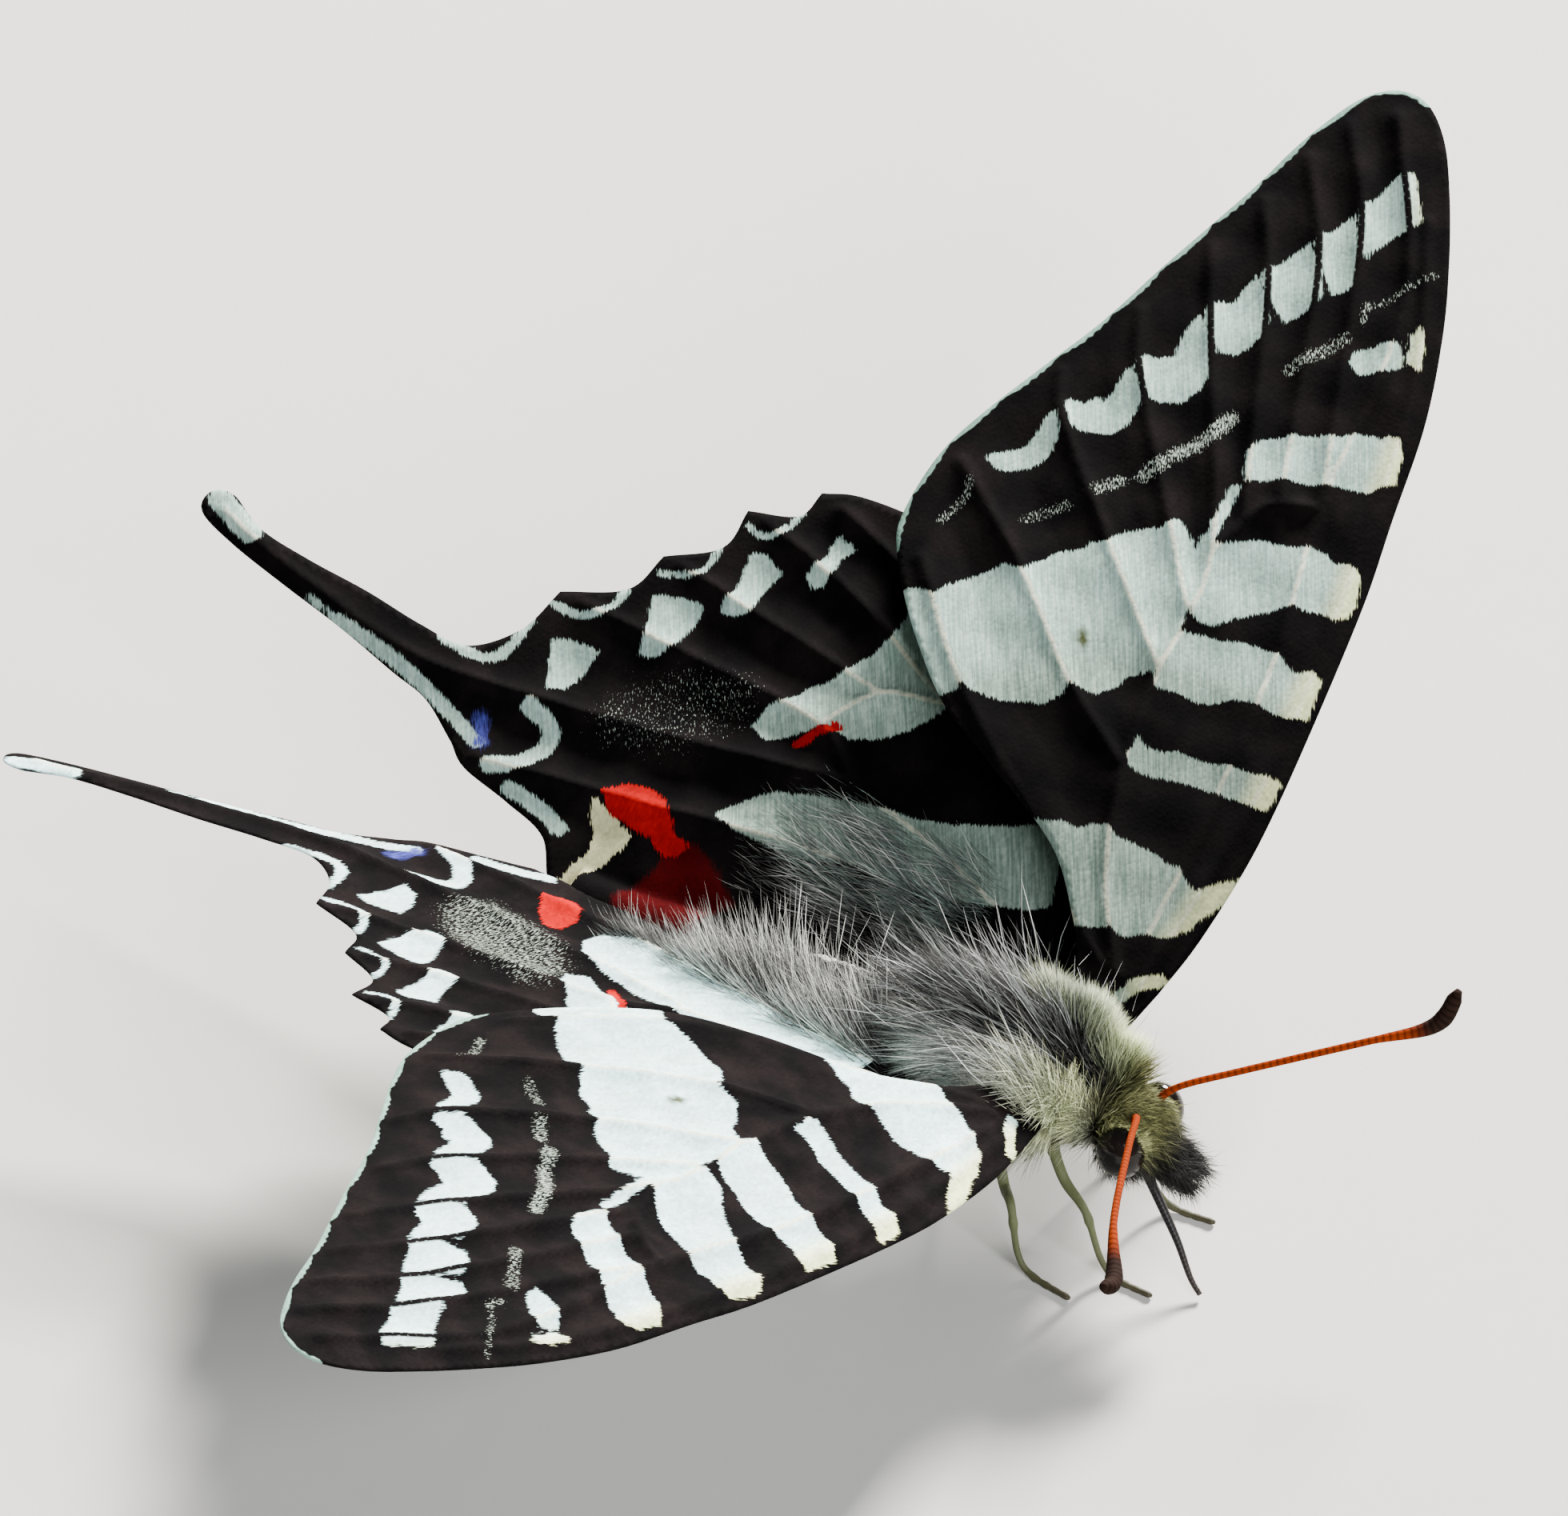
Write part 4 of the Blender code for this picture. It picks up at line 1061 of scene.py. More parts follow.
@dataclass
class Wing:
    """One wing as a thin pleated sheet with raised veins, slid a little along its own plane."""

    name: str
    plan: WingPlan
    side: int
    slide: tuple[float, float] = (0.0, 0.0)
    spacing: float = 0.2
    thickness: float = 0.14
    rim_thickness: float = 0.05
    vein_height: float = 0.11
    vein_half_width: float = 0.2
    fold_depth: float = 0.36
    fringe_width: float = 0.17
    ripple_depth: float = 0.05
    most_raised: float = 1.2

    def flat_mesh(self) -> tuple[np.ndarray, list]:
        """Flat triangles of the wing.

        Returns:
            Points in the wing's plane, and the triangles between them.
        """
        rim = self.plan.edge(self.spacing)
        low, high = rim.min(axis=0), rim.max(axis=0)
        rows = np.arange(low[1], high[1], self.spacing * 0.87)
        columns = np.arange(low[0], high[0], self.spacing)
        grid_u, grid_v = np.meshgrid(columns, rows)
        grid_u = grid_u + (np.arange(len(rows)) % 2)[:, None] * self.spacing / 2
        spots = np.column_stack([grid_u.ravel(), grid_v.ravel()])
        away = signed_distance(spots, rim)
        spots = spots[away < -0.6 * self.spacing]
        points = [Vector(p) for p in np.vstack([rim, spots])]
        ring = list(range(len(rim)))
        flat, _, triangles, _, _, _ = delaunay_2d_cdt(points, [], [ring], 1, 1e-6)
        return np.array([tuple(p) for p in flat]), [tuple(t) for t in triangles]

    def marking_values(self, spots: np.ndarray, vein_away: np.ndarray, under: bool) -> dict[str, np.ndarray]:
        """How far each spot is from each kind of marking, and where a vein cuts it.

        Args:
            spots: Points in the wing's plane.
            vein_away: Distance of each to the nearest vein.
            under: Whether the lower face is asked.

        Returns:
            Values by the name of the attribute.
        """
        values = {mark.value: np.full(len(spots), UNMARKED) for mark in Mark}
        values[Mark.DUST.value] = np.zeros(len(spots))
        values["gap"] = np.full(len(spots), -1.0)
        marks = self.plan.marks + (self.plan.under_marks if under else ())
        marks += self.plan.right_marks if self.side == RIGHT else self.plan.left_marks
        for item in marks:
            away = item.distance(spots)
            key = item.mark.value
            if item.mark is Mark.DUST:
                cover = item.cover * (1.0 - smooth_step(-item.soft, item.soft, away))
                values[key] = np.maximum(values[key], cover)
                continue
            values[key] = np.minimum(values[key], away)
            if isinstance(item, Patch) and item.gap:
                cut = np.maximum(values["gap"], item.gap - vein_away)
                values["gap"] = np.where(away < 0.3, cut, values["gap"])
        return values

    def build(self, material: bpy.types.Material) -> bpy.types.Object:
        """Makes the wing and puts it in place of its solid.

        Args:
            material: The wing's finish.

        Returns:
            The finished piece.
        """
        spots, triangles = self.flat_mesh()
        plan = self.plan
        rim = plan.edge(self.spacing)
        rim_away = line_distance(spots, np.vstack([rim, rim[:1]]))
        vein_away = np.min([line_distance(spots, smooth_path(vein, 0.5)) for vein in plan.veins], axis=0)
        fold = 1.0 - np.exp(-vein_away / 1.1)
        middle, upward = self._middle(spots, rim_away, fold)
        body = smooth_step(0.0, 0.9, rim_away)
        ridge = self.vein_height * np.exp(-(vein_away / self.vein_half_width) ** 2)
        half = (self.rim_thickness + (self.thickness - self.rim_thickness) * body) / 2
        half += ridge * smooth_step(0.0, 0.3, rim_away)
        points = np.vstack([middle + half[:, None] * upward, middle - half[:, None] * upward])
        count = len(spots)
        upper = [t[::-1] if self.side == RIGHT else t for t in triangles]
        used = {(a, b) for t in upper for a, b in zip(t, t[1:] + t[:1])}
        skirt = [(b, a, count + a, count + b) for a, b in used if (b, a) not in used]
        faces = upper + [tuple(count + k for k in reversed(t)) for t in upper] + skirt
        piece = make_object(self.name, points, faces)
        face_outwards(piece.data)
        self._store(piece.data, spots, vein_away, fold)
        self._unwrap(piece.data, spots)
        mount(piece, material, Slot.WING, self.name.replace("_scaled", ""))
        return piece

    def _middle(self, spots: np.ndarray, rim_away: np.ndarray,
                fold: np.ndarray) -> tuple[np.ndarray, np.ndarray]:
        """Bends the wing's plane, and lifts a hindwing clear of the abdomen.

        Args:
            spots: Points in the wing's plane.
            rim_away: Distance of each to the rim.
            fold: 1 in the hollow between two veins.

        Returns:
            Points halfway through the wing, in body millimetres, and its upward direction.
        """
        plan = self.plan
        u, v = spots.T
        ripple = self.ripple_depth * np.sin(2.1 * u + 0.9 * v) * np.sin(1.3 * v - 0.4 * u)
        shift = (ripple - self.fold_depth * (fold - 0.45)) * smooth_step(0.0, 1.5, rim_away)
        out, forward, upward = plan.axes(self.side)
        hinge = np.array(plan.hinge) * (self.side, 1.0, 1.0)
        flat = hinge + np.outer(u + self.slide[0], out) + np.outer(v + self.slide[1], forward)
        middle = flat + np.outer(plan.bow(v) + shift - plan.drop(spots, self.side), upward)
        if isinstance(plan, HindwingPlan):
            cleared = Skin.abdomen_top(middle) + plan.ABDOMEN_GAP[self.side]
            middle[:, 2] = np.maximum(middle[:, 2], np.minimum(cleared, middle[:, 2] + self.most_raised))
        return middle, upward

    def _store(self, mesh: bpy.types.Mesh, spots: np.ndarray, vein_away: np.ndarray,
               fold: np.ndarray) -> None:
        """Stores what the finish reads.

        Args:
            mesh: The wing's mesh, upper points first.
            spots: Its points in the wing's plane.
            vein_away: Distance of each to the nearest vein.
            fold: 1 in the hollow between two veins.
        """
        above = self.marking_values(spots, vein_away, False)
        below = self.marking_values(spots, vein_away, True)
        for key in above:
            set_values(mesh, key, np.concatenate([above[key], below[key]]))
        cream, smudge = np.zeros(len(spots)), np.zeros(len(spots))
        fringe = np.ones(len(spots))
        if isinstance(self.plan, ForewingPlan):
            front_edge, rear_edge = self.plan.outline[0][:12], self.plan.outline[0][12:]
            cream = 1.0 - smooth_step(0.5, 1.5, line_distance(spots, smooth_path(front_edge, 0.5)))
            gaps = np.abs(np.sin(math.pi * (spots[:, 0] - 11.3) / 2.3)) ** 0.5
            bead = gaps * (0.75 + 0.5 * np.sin(math.pi * spots @ (0.6, 0.8) / 0.3) ** 2)
            fringe = line_distance(spots, smooth_path(rear_edge, 0.3)) - self.fringe_width * bead
        for place in self.plan.smudges:
            along, across = (spots - place) @ (0.83, -0.55), (spots - place) @ (0.55, 0.83)
            smudge = np.maximum(smudge, 1.0 - smooth_step(0.35, 1.0, np.hypot(along / 0.55, across / 0.26)))
        # Painted shade on the left wing: 1 over the wing, rising to 2 towards its base; none on the right.
        base = 1.0 - smooth_step(5.0, 16.0, np.hypot(spots[:, 0], spots[:, 1]))
        dull = 1.0 + base if self.side == LEFT else np.zeros(len(spots))
        for key, values in (("cream", cream), ("fringe", fringe), ("smudge", smudge), ("vein", vein_away),
                            ("fold", fold), ("dull", dull)):
            set_values(mesh, key, np.concatenate([values, values]))
        plane = np.column_stack([spots, np.zeros(len(spots))])
        set_values(mesh, "plane", np.vstack([plane, plane + (0.0, 0.0, UNDER_SIDE)]))

    def _unwrap(self, mesh: bpy.types.Mesh, spots: np.ndarray) -> None:
        """Lays the upper face, the lower face and the rim on separate parts of the wing's map.

        Args:
            mesh: The wing's mesh, upper points first.
            spots: Its points in the wing's plane.
        """
        low, high = spots.min(axis=0), spots.max(axis=0)
        size = float(max(high[0] - low[0], 2.2 * (high[1] - low[1]))) * 1.04
        corner, total = corner_vertices(mesh), corner_counts(mesh)
        rim_corner = np.repeat(total == 4, total)
        under = corner >= len(spots)
        layout = ((spots - low) / size)[corner % len(spots)]
        layout[under, 1] += 0.49
        layout[rim_corner, 1] = 0.985 + 0.01 * under[rim_corner]
        store_unwrap(mesh, layout)


# Limbs


@dataclass
class Limb:
    """Round tapered limb along a path. A floor limb is flat where it would go through the floor."""

    name: str
    path: Points
    widths: tuple[tuple[float, float], ...]
    slot: Slot
    nodes: tuple[str, ...]
    sides: int = 14
    spacing: float = 0.12
    floor: bool = False

    def rings(self) -> tuple[np.ndarray, list, np.ndarray, np.ndarray]:
        """Works out the limb as a closed tube.

        Returns:
            Its points, its faces, and the share of the length and the millimetres to each point.
        """
        path = smooth_path(self.path, self.spacing)
        steps = np.linalg.norm(np.diff(path, axis=0), axis=1)
        reach = np.concatenate([[0.0], np.cumsum(steps)])
        share = reach / reach[-1]
        places, sizes = zip(*self.widths)
        radius = np.interp(share, places, sizes)
        points = []
        across = None
        for i, centre in enumerate(path):
            along = path[min(i + 1, len(path) - 1)] - path[max(i - 1, 0)]
            along = along / np.linalg.norm(along)
            if across is None:
                across = np.cross(along, (0.0, 0.3, 1.0))
            across = across - along * (across @ along)
            across = across / np.linalg.norm(across)
            lift = np.cross(along, across)
            turn = 2 * math.pi * np.arange(self.sides) / self.sides
            circle = np.outer(np.cos(turn), across) + np.outer(np.sin(turn), lift)
            points.append(centre + radius[i] * circle)
        points = np.vstack(points)
        if self.floor:
            points[:, 2] = np.maximum(points[:, 2], -ROOT_HEIGHT)
        count, sides = len(path), self.sides
        caps = [tuple(reversed(range(sides))), tuple(range((count - 1) * sides, count * sides))]
        return points, tube_faces(count, sides) + caps, np.repeat(share, sides), np.repeat(reach, sides)

    def build(self, material: bpy.types.Material) -> None:
        """Makes the limb with a finish and puts it in place of its solid.

        Args:
            material: Its finish.
        """
        points, faces, share, reach = self.rings()
        piece = make_object(self.name, points, faces)
        face_outwards(piece.data)
        set_values(piece.data, "along", share)
        set_values(piece.data, "reach", reach)
        mount(piece, material, self.slot, *self.nodes)


ANTENNA_WIDTHS = ((0.0, 0.16), (0.1, 0.12), (0.7, 0.13), (0.8, 0.2), (0.9, 0.31), (0.97, 0.27), (1.0, 0.12))
ANTENNA_PATHS = {
    "left": ((0.55, -2.95, -0.9), (0.62, -3.1, -0.55), (1.0, -3.75, 0.12), (2.6, -5.4, 0.38),
             (5.3, -8.4, 0.9), (6.95, -10.1, 1.15), (7.7, -10.6, 2.35)),
    "right": ((-0.6, -2.9, -0.8), (-0.8, -3.05, -0.3), (-1.15, -3.3, 0.05), (-3.4, -4.3, 1.0),
              (-7.6, -6.2, 2.0), (-10.0, -7.6, 1.9), (-11.0, -7.75, 2.4)),
}
TONGUE_PATH = ((0.0, -2.9, -2.4), (0.0, -3.0, -3.15), (-0.15, -3.6, -4.1), (-0.6, -4.6, -5.2),
               (-1.1, -5.4, -6.1), (-1.3, -5.9, -6.5))
TONGUE_WIDTHS = ((0.0, 0.2), (0.5, 0.15), (1.0, 0.09))
LEG_WIDTHS = ((0.0, 0.26), (0.06, 0.28), (0.12, 0.2), (0.3, 0.18), (0.44, 0.14), (0.48, 0.17), (0.52, 0.12),
              (0.74, 0.11), (0.78, 0.14), (0.82, 0.105), (0.86, 0.13), (0.88, 0.1), (0.92, 0.12),
              (0.94, 0.095), (0.98, 0.12), (1.0, 0.06))
LEG_PATHS = {
    "front": ((0.8, 0.3, -2.4), (1.1, -0.5, -3.9), (1.7, -1.7, -4.4), (1.9, -2.4, -6.0), (2.0, -3.1, -6.55),
              (2.1, -4.5, -6.58)),
    "middle": ((1.3, 2.0, -3.2), (1.8, 1.4, -4.5), (2.7, 0.6, -4.4), (3.1, 0.1, -6.0), (3.3, -0.6, -6.55),
               (3.6, -2.2, -6.58)),
    "hind": ((1.2, 3.8, -3.2), (1.9, 4.7, -4.6), (3.3, 6.2, -4.3), (4.7, 10.6, -5.9), (5.0, 11.8, -6.55),
             (5.4, 13.5, -6.58)),
}


@dataclass
class Limbs:
    """Antennae, tongue and legs."""

    antenna: LimbFinish = LimbFinish("antenna_scaled", 0.8, specular=0.02, turn=(0.76, 0.86), rings=26.0,
                                     colours=((0.17, 0.019, 0.001), (0.014, 0.007, 0.005)))
    tongue: LimbFinish = LimbFinish("tongue_horny", 0.4, specular=0.2, turn=(0.5, 1.0), rings=40.0,
                                    colours=((0.012, 0.010, 0.010), (0.03, 0.022, 0.018)))
    # The legs' own greenish grey, laid darker as painted shade under the body.
    leg: LimbFinish = LimbFinish("leg_scaled", 0.6, specular=0.2, turn=(0.45, 1.0),
                                 colours=((0.085, 0.095, 0.042), (0.04, 0.034, 0.018)))

    def build(self, groups: Groups) -> None:
        """Makes every limb.

        Args:
            groups: Effects for their finishes.
        """
        antenna = self.antenna.build(groups)
        for name, path in ANTENNA_PATHS.items():
            shaft = Limb("antenna_shaft_" + name, path, ANTENNA_WIDTHS, Slot.ANTENNA, ("antenna_" + name,))
            shaft.build(antenna)
        tube = Limb("tongue_tube", TONGUE_PATH, TONGUE_WIDTHS, Slot.BLACK, ("proboscis",))
        tube.build(self.tongue.build(groups))
        leg = self.leg.build(groups)
        for pair, marks in LEG_PATHS.items():
            for side, name in SIDES:
                path = tuple((x * side, y, z) for x, y, z in marks)
                nodes = ("leg_%s_%s" % (pair, name),)
                Limb("limb_%s_%s" % (pair, name), path, LEG_WIDTHS, Slot.LEG, nodes, floor=True).build(leg)


# Body


@dataclass
class Skin:
    """One skin over thorax, neck, head, palps and abdomen."""

    voxel: float = 0.13
    balls: tuple[tuple[Points, ...], ...] = (
        ((0.0, 2.9, -1.15), (2.5, 3.7, 2.5)),
        ((0.0, 1.3, -0.95), (2.1, 2.0, 2.1)),
        ((0.0, -0.9, -1.35), (1.1, 1.2, 1.05)),
        ((0.0, -2.55, -1.55), (1.35, 1.2, 1.2)),
        ((0.0, -3.2, -1.85), (0.8, 0.8, 0.75)),
    )
    abdomen: Points = ((0.0, 5.0, -1.3), (0.0, 7.1, -1.4), (0.0, 9.8, -1.6), (0.0, 13.5, -2.0),
                       (0.0, 17.0, -2.2), (0.0, 19.1, -2.1))
    abdomen_radius: float = 1.45
    abdomen_rings: int = 9
    groove_depth: float = 0.09
    palp: Points = ((0.4, -3.2, -2.0), (0.42, -4.0, -2.15), (0.42, -4.7, -2.45))
    palp_widths: Points = ((0.0, 0.36), (0.6, 0.32), (1.0, 0.12))

    def build(self, material: bpy.types.Material) -> bpy.types.Object:
        """Makes the skin with its tint and unwrap.

        Args:
            material: The skin's finish.

        Returns:
            The finished piece.
        """
        parts = [self._ball(i, *ball) for i, ball in enumerate(self.balls)]
        parts.append(self._abdomen())
        for side, name in SIDES:
            path = tuple((x * side, y, z) for x, y, z in self.palp)
            core = Limb("palp_core_" + name, path, self.palp_widths, Slot.HAIR, ())
            parts.append(make_object(core.name, *core.rings()[:2]))
        body = parts[0]
        work = bmesh.new()
        for part in parts:
            work.from_mesh(part.data)
        work.to_mesh(body.data)
        work.free()
        for part in parts[1:]:
            bpy.data.objects.remove(part, do_unlink=True)
        remesh = body.modifiers.new("one_skin", "REMESH")
        remesh.mode = "VOXEL"
        remesh.voxel_size = self.voxel * MM
        remesh.use_smooth_shade = True
        ease = body.modifiers.new("ease", "SMOOTH")
        ease.factor = 0.5
        ease.iterations = 6
        mesh = bpy.data.meshes.new_from_object(body.evaluated_get(bpy.context.evaluated_depsgraph_get()))
        bpy.data.objects.remove(body, do_unlink=True)
        mesh.name = "body_skin"
        piece = place_object("body_skin", mesh)
        Coat.paint(mesh)
        self._unwrap(mesh)
        mount(piece, material, Slot.HAIR, "thorax", "head", "abdomen", "palp_left", "palp_right")
        return piece

    @classmethod
    def abdomen_top(cls, points: np.ndarray) -> np.ndarray:
        """Height of the abdomen's upper side.

        Args:
            points: Places in body millimetres.

        Returns:
            The height at each place, far down where there is no abdomen.
        """
        path = np.array(cls.abdomen)
        middle = np.interp(points[:, 1], path[:, 1], path[:, 2])
        room = cls.abdomen_radius ** 2 - points[:, 0] ** 2
        beside = (room <= 0.0) | (points[:, 1] > path[-1, 1])
        return np.where(beside, -99.0, middle + np.sqrt(np.maximum(room, 0.0)))

    def _ball(self, number: int, middle: tuple, half: tuple) -> bpy.types.Object:
        """One ellipsoid of the body.

        Args:
            number: Its place in the list.
            middle: Its middle.
            half: Its half sizes.

        Returns:
            The new object.
        """
        work = bmesh.new()
        bmesh.ops.create_uvsphere(work, u_segments=32, v_segments=20, radius=1.0)
        points = np.array([v.co for v in work.verts]) * half + middle
        faces = [tuple(v.index for v in f.verts) for f in work.faces]
        work.free()
        return make_object("ball_%d" % number, points, faces)

    def _abdomen(self) -> bpy.types.Object:
        """Makes the abdomen, with a groove between each two rings.

        Returns:
            The new object.
        """
        share = np.linspace(0.0, 1.0, 90)
        swell = np.sin(math.pi * np.minimum(1.0, 0.35 + 0.55 * share)) ** 0.5
        close = np.sqrt(np.maximum(0.05, 1.0 - np.maximum(0.0, (share - 0.86) / 0.14) ** 2))
        groove = self.groove_depth * (0.5 + 0.5 * np.cos(2 * math.pi * self.abdomen_rings * share)) ** 3
        widths = tuple(zip(share, self.abdomen_radius * swell * close * (1.0 - groove)))
        core = Limb("abdomen_core", self.abdomen, widths, Slot.BLACK, (), sides=28)
        return make_object(core.name, *core.rings()[:2])

    def _unwrap(self, mesh: bpy.types.Mesh) -> None:
        """Unrolls the skin round its long axis, with the seam under the belly.

        Args:
            mesh: The skin, with its fields.
        """
        total = corner_counts(mesh)
        starts = np.concatenate([[0], np.cumsum(total)[:-1]])
        layout = get_vectors(mesh, "root_uv")[corner_vertices(mesh), :2]
        high = np.repeat(np.maximum.reduceat(layout[:, 0], starts), total)
        wrapped = (high - layout[:, 0]) > 0.5
        layout[wrapped, 0] = high[wrapped]
        store_unwrap(mesh, layout)


@dataclass(frozen=True)
class Lock:
    """Kind of hair.

    The aspect is its width for its length. Lift raises it off the skin, and spread makes it stray.
    Bends are those of its hairs. With no tint of its own, it takes the skin's.
    """

    name: str
    count: int
    length: float
    aspect: float
    lift: float
    spread: float
    seed: int
    tint: tuple[float, float, float] | None = None
    plush: bool = False
    bends: tuple[float, ...] = (0.10, 0.22, 0.36, 0.5)

    @property
    def stations(self) -> tuple[tuple[float, float], ...]:
        """Share of the length and of the width at each ring of a hair; a long one has one more."""
        return ((0.0, 0.7), (0.3, 1.0), (0.62, 0.8)) if self.length > 1.3 else ((0.0, 0.8), (0.5, 1.0))


class Blades:
    """Collection of a few bent, tapered hairs to pick from."""

    SIDES = 3
    SWAY = 0.16

    def __init__(self, name: str, lock: Lock) -> None:
        """Makes the hairs of a kind, one unit long, each with a sway of its own.

        Args:
            name: Name of their collection.
            lock: The kind of hair.
        """
        self.group = bpy.data.collections.new(name)
        for i, bend in enumerate(lock.bends):
            self.group.objects.link(self._blade("%s_%d" % (name, i), lock, bend, self.SWAY * (i - 1.5)))

    def _blade(self, name: str, lock: Lock, bend: float, sway: float) -> bpy.types.Object:
        """One hair along Z, one unit long.

        Args:
            name: Its name.
            lock: The kind of hair.
            bend: How far its tip bends towards -X.
            sway: How far its tip sways along Y.

        Returns:
            The new object, which isn't in the scene.
        """
        n = self.SIDES
        points, along = [], []
        for share, width in lock.stations:
            centre = np.array((-bend * share ** 2, sway * share ** 2, share))
            for k in range(n):
                turn = 2 * math.pi * k / n
                outward = np.array((math.cos(turn), math.sin(turn), 0.0))
                points.append(centre + outward * lock.aspect * width / 2)
                along.append(share)
        points.append(np.array((-bend, sway, 1.0)))
        along.append(1.0)
        last = len(points) - 1
        tip = [(last - n + k, last - n + (k + 1) % n, last) for k in range(n)]
        faces = [tuple(reversed(range(n)))] + tube_faces(len(lock.stations), n) + tip
        mesh = bpy.data.meshes.new(name)
        mesh.from_pydata([tuple(p) for p in points], [], faces)
        set_values(mesh, "along", np.array(along))
        around = (np.arange(len(points)) % n) / n
        set_values(mesh, "patch", np.column_stack([around, along, np.zeros(len(points))]))
        return bpy.data.objects.new(name, mesh)

    def remove(self) -> None:
        """Removes the hairs once they have been used."""
        for blade in list(self.group.objects):
            bpy.data.objects.remove(blade, do_unlink=True)
        bpy.data.collections.remove(self.group)


class CoatTree:
    """Geometry nodes that grow hairs on a skin along its lie."""

    INPUTS = {"Geometry": "Geometry", "Blades": "Collection", "Density": "Float", "Length": "Float",
              "Lift": "Float", "Spread": "Float", "Seed": "Int", "Material": "Material"}
    SHORTEST = 0.6
    LONGEST = 1.12

    def __init__(self) -> None:
        """Builds the tree once, with named inputs."""
        self.tree = bpy.data.node_groups.new("GrowCoat", "GeometryNodeTree")
        self.sockets: dict[str, str] = {}
        for name, kind in self.INPUTS.items():
            socket = self.tree.interface.new_socket(name, in_out="INPUT", socket_type="NodeSocket" + kind)
            self.sockets[name] = socket.identifier
        self.tree.interface.new_socket("Geometry", in_out="OUTPUT", socket_type="NodeSocketGeometry")
        self._lay_out()

    def _lay_out(self) -> None:
        """Lays out and joins the nodes."""
        shade = Shade(self.tree)
        given = self.tree.nodes.new("NodeGroupInput").outputs
        end = self.tree.nodes.new("NodeGroupOutput")

        def named(name: str, kind: str) -> bpy.types.NodeSocket:
            """Named attribute of the skin."""
            node = shade.node("GeometryNodeInputNamedAttribute", {"Name": name}, data_type=kind)
            return node.outputs["Attribute"]

        def chance(low: object, high: object, first: int, **ids: object) -> bpy.types.Node:
            """Random value between two ends.

            Args:
                low: Lower end, a number or a vector.
                high: Upper end.
                first: Number of the node's input for the lower end, 0 where the ends are vectors.
                ids: Further inputs.

            Returns:
                The new node.
            """
            kind = "FLOAT" if first else "FLOAT_VECTOR"
            inputs = {"Seed": given["Seed"], first: low, first + 1: high, **ids}
            return shade.node("FunctionNodeRandomValue", inputs, data_type=kind)

        def total(a: object, b: object) -> bpy.types.NodeSocket:
            """Sum of two vectors."""
            return shade.node("ShaderNodeVectorMath", {0: a, 1: b}, operation="ADD").outputs[0]

        density = shade.math("MULTIPLY", named("cover", "FLOAT"), given["Density"])
        grow = shade.node("GeometryNodeDistributePointsOnFaces",
                          {"Mesh": given["Geometry"], "Density": density, "Seed": given["Seed"]},
                          distribute_method="RANDOM")
        normal = grow.outputs["Normal"]
        stray = chance((-1.0, -1.0, -1.0), (1.0, 1.0, 1.0), 0).outputs[0]
        lie = total(named("lie", "FLOAT_VECTOR"), shade.scale_colour(stray, given["Spread"]))
        lie = total(lie, shade.scale_colour(normal, given["Lift"]))
        along = shade.node("FunctionNodeAlignRotationToVector", {"Vector": lie}, axis="Z")
        turned = shade.node("FunctionNodeAlignRotationToVector",
                            {"Rotation": along.outputs[0], "Vector": normal}, axis="X", pivot_axis="Z")
        strand = chance(0.0, 1.0, 2, ID=shade.node("GeometryNodeInputIndex").outputs[0]).outputs[1]
        marked = shade.node("GeometryNodeStoreNamedAttribute",
                            {"Geometry": grow.outputs["Points"], "Name": "strand", "Value": strand},
                            data_type="FLOAT", domain="POINT")
        drawn = chance(self.SHORTEST, self.LONGEST, 2).outputs[1]
        share = shade.math("MULTIPLY", drawn, named("reach", "FLOAT"))
        size = shade.math("MULTIPLY", share, given["Length"])
        blades = shade.node("GeometryNodeCollectionInfo",
                            {"Collection": given["Blades"], "Separate Children": True,
                             "Reset Children": True})
        plant = shade.node("GeometryNodeInstanceOnPoints",
                           {"Points": marked.outputs[0], "Instance": blades.outputs[0],
                            "Pick Instance": True, "Rotation": turned.outputs[0], "Scale": size})
        real = shade.node("GeometryNodeRealizeInstances", {"Geometry": plant.outputs[0]})
        dressed = shade.node("GeometryNodeSetMaterial",
                             {"Geometry": real.outputs[0], "Material": given["Material"]})
        self.tree.links.new(dressed.outputs[0], end.inputs[0])

    def grow(self, name: str, skin: bpy.types.Mesh, lock: Lock, area: float,
             material: bpy.types.Material) -> bpy.types.Mesh:
        """Grows one kind of hair on a skin.

        Args:
            name: Name of the new mesh.
            skin: Mesh with cover, lie, reach, tint and root_uv.
            lock: The kind of hair.
            area: Cover times area of the skin, in square metres.
            material: The hair's finish.

        Returns:
            A plain mesh of all its hairs.
        """
        blades = Blades(name + "_blade", lock)
        holder = place_object(name + "_holder", skin)
        modifier = holder.modifiers.new("coat", "NODES")
        modifier.node_group = self.tree
        values = {"Blades": blades.group, "Density": lock.count / max(area, 1e-9),
                  "Length": lock.length * MM, "Lift": lock.lift, "Spread": lock.spread,
                  "Seed": lock.seed, "Material": material}
        for key, value in values.items():
            modifier[self.sockets[key]] = value
        holder.update_tag()
        mesh = bpy.data.meshes.new_from_object(holder.evaluated_get(bpy.context.evaluated_depsgraph_get()))
        mesh.name = name
        bpy.data.objects.remove(holder, do_unlink=True)
        blades.remove()
        return mesh


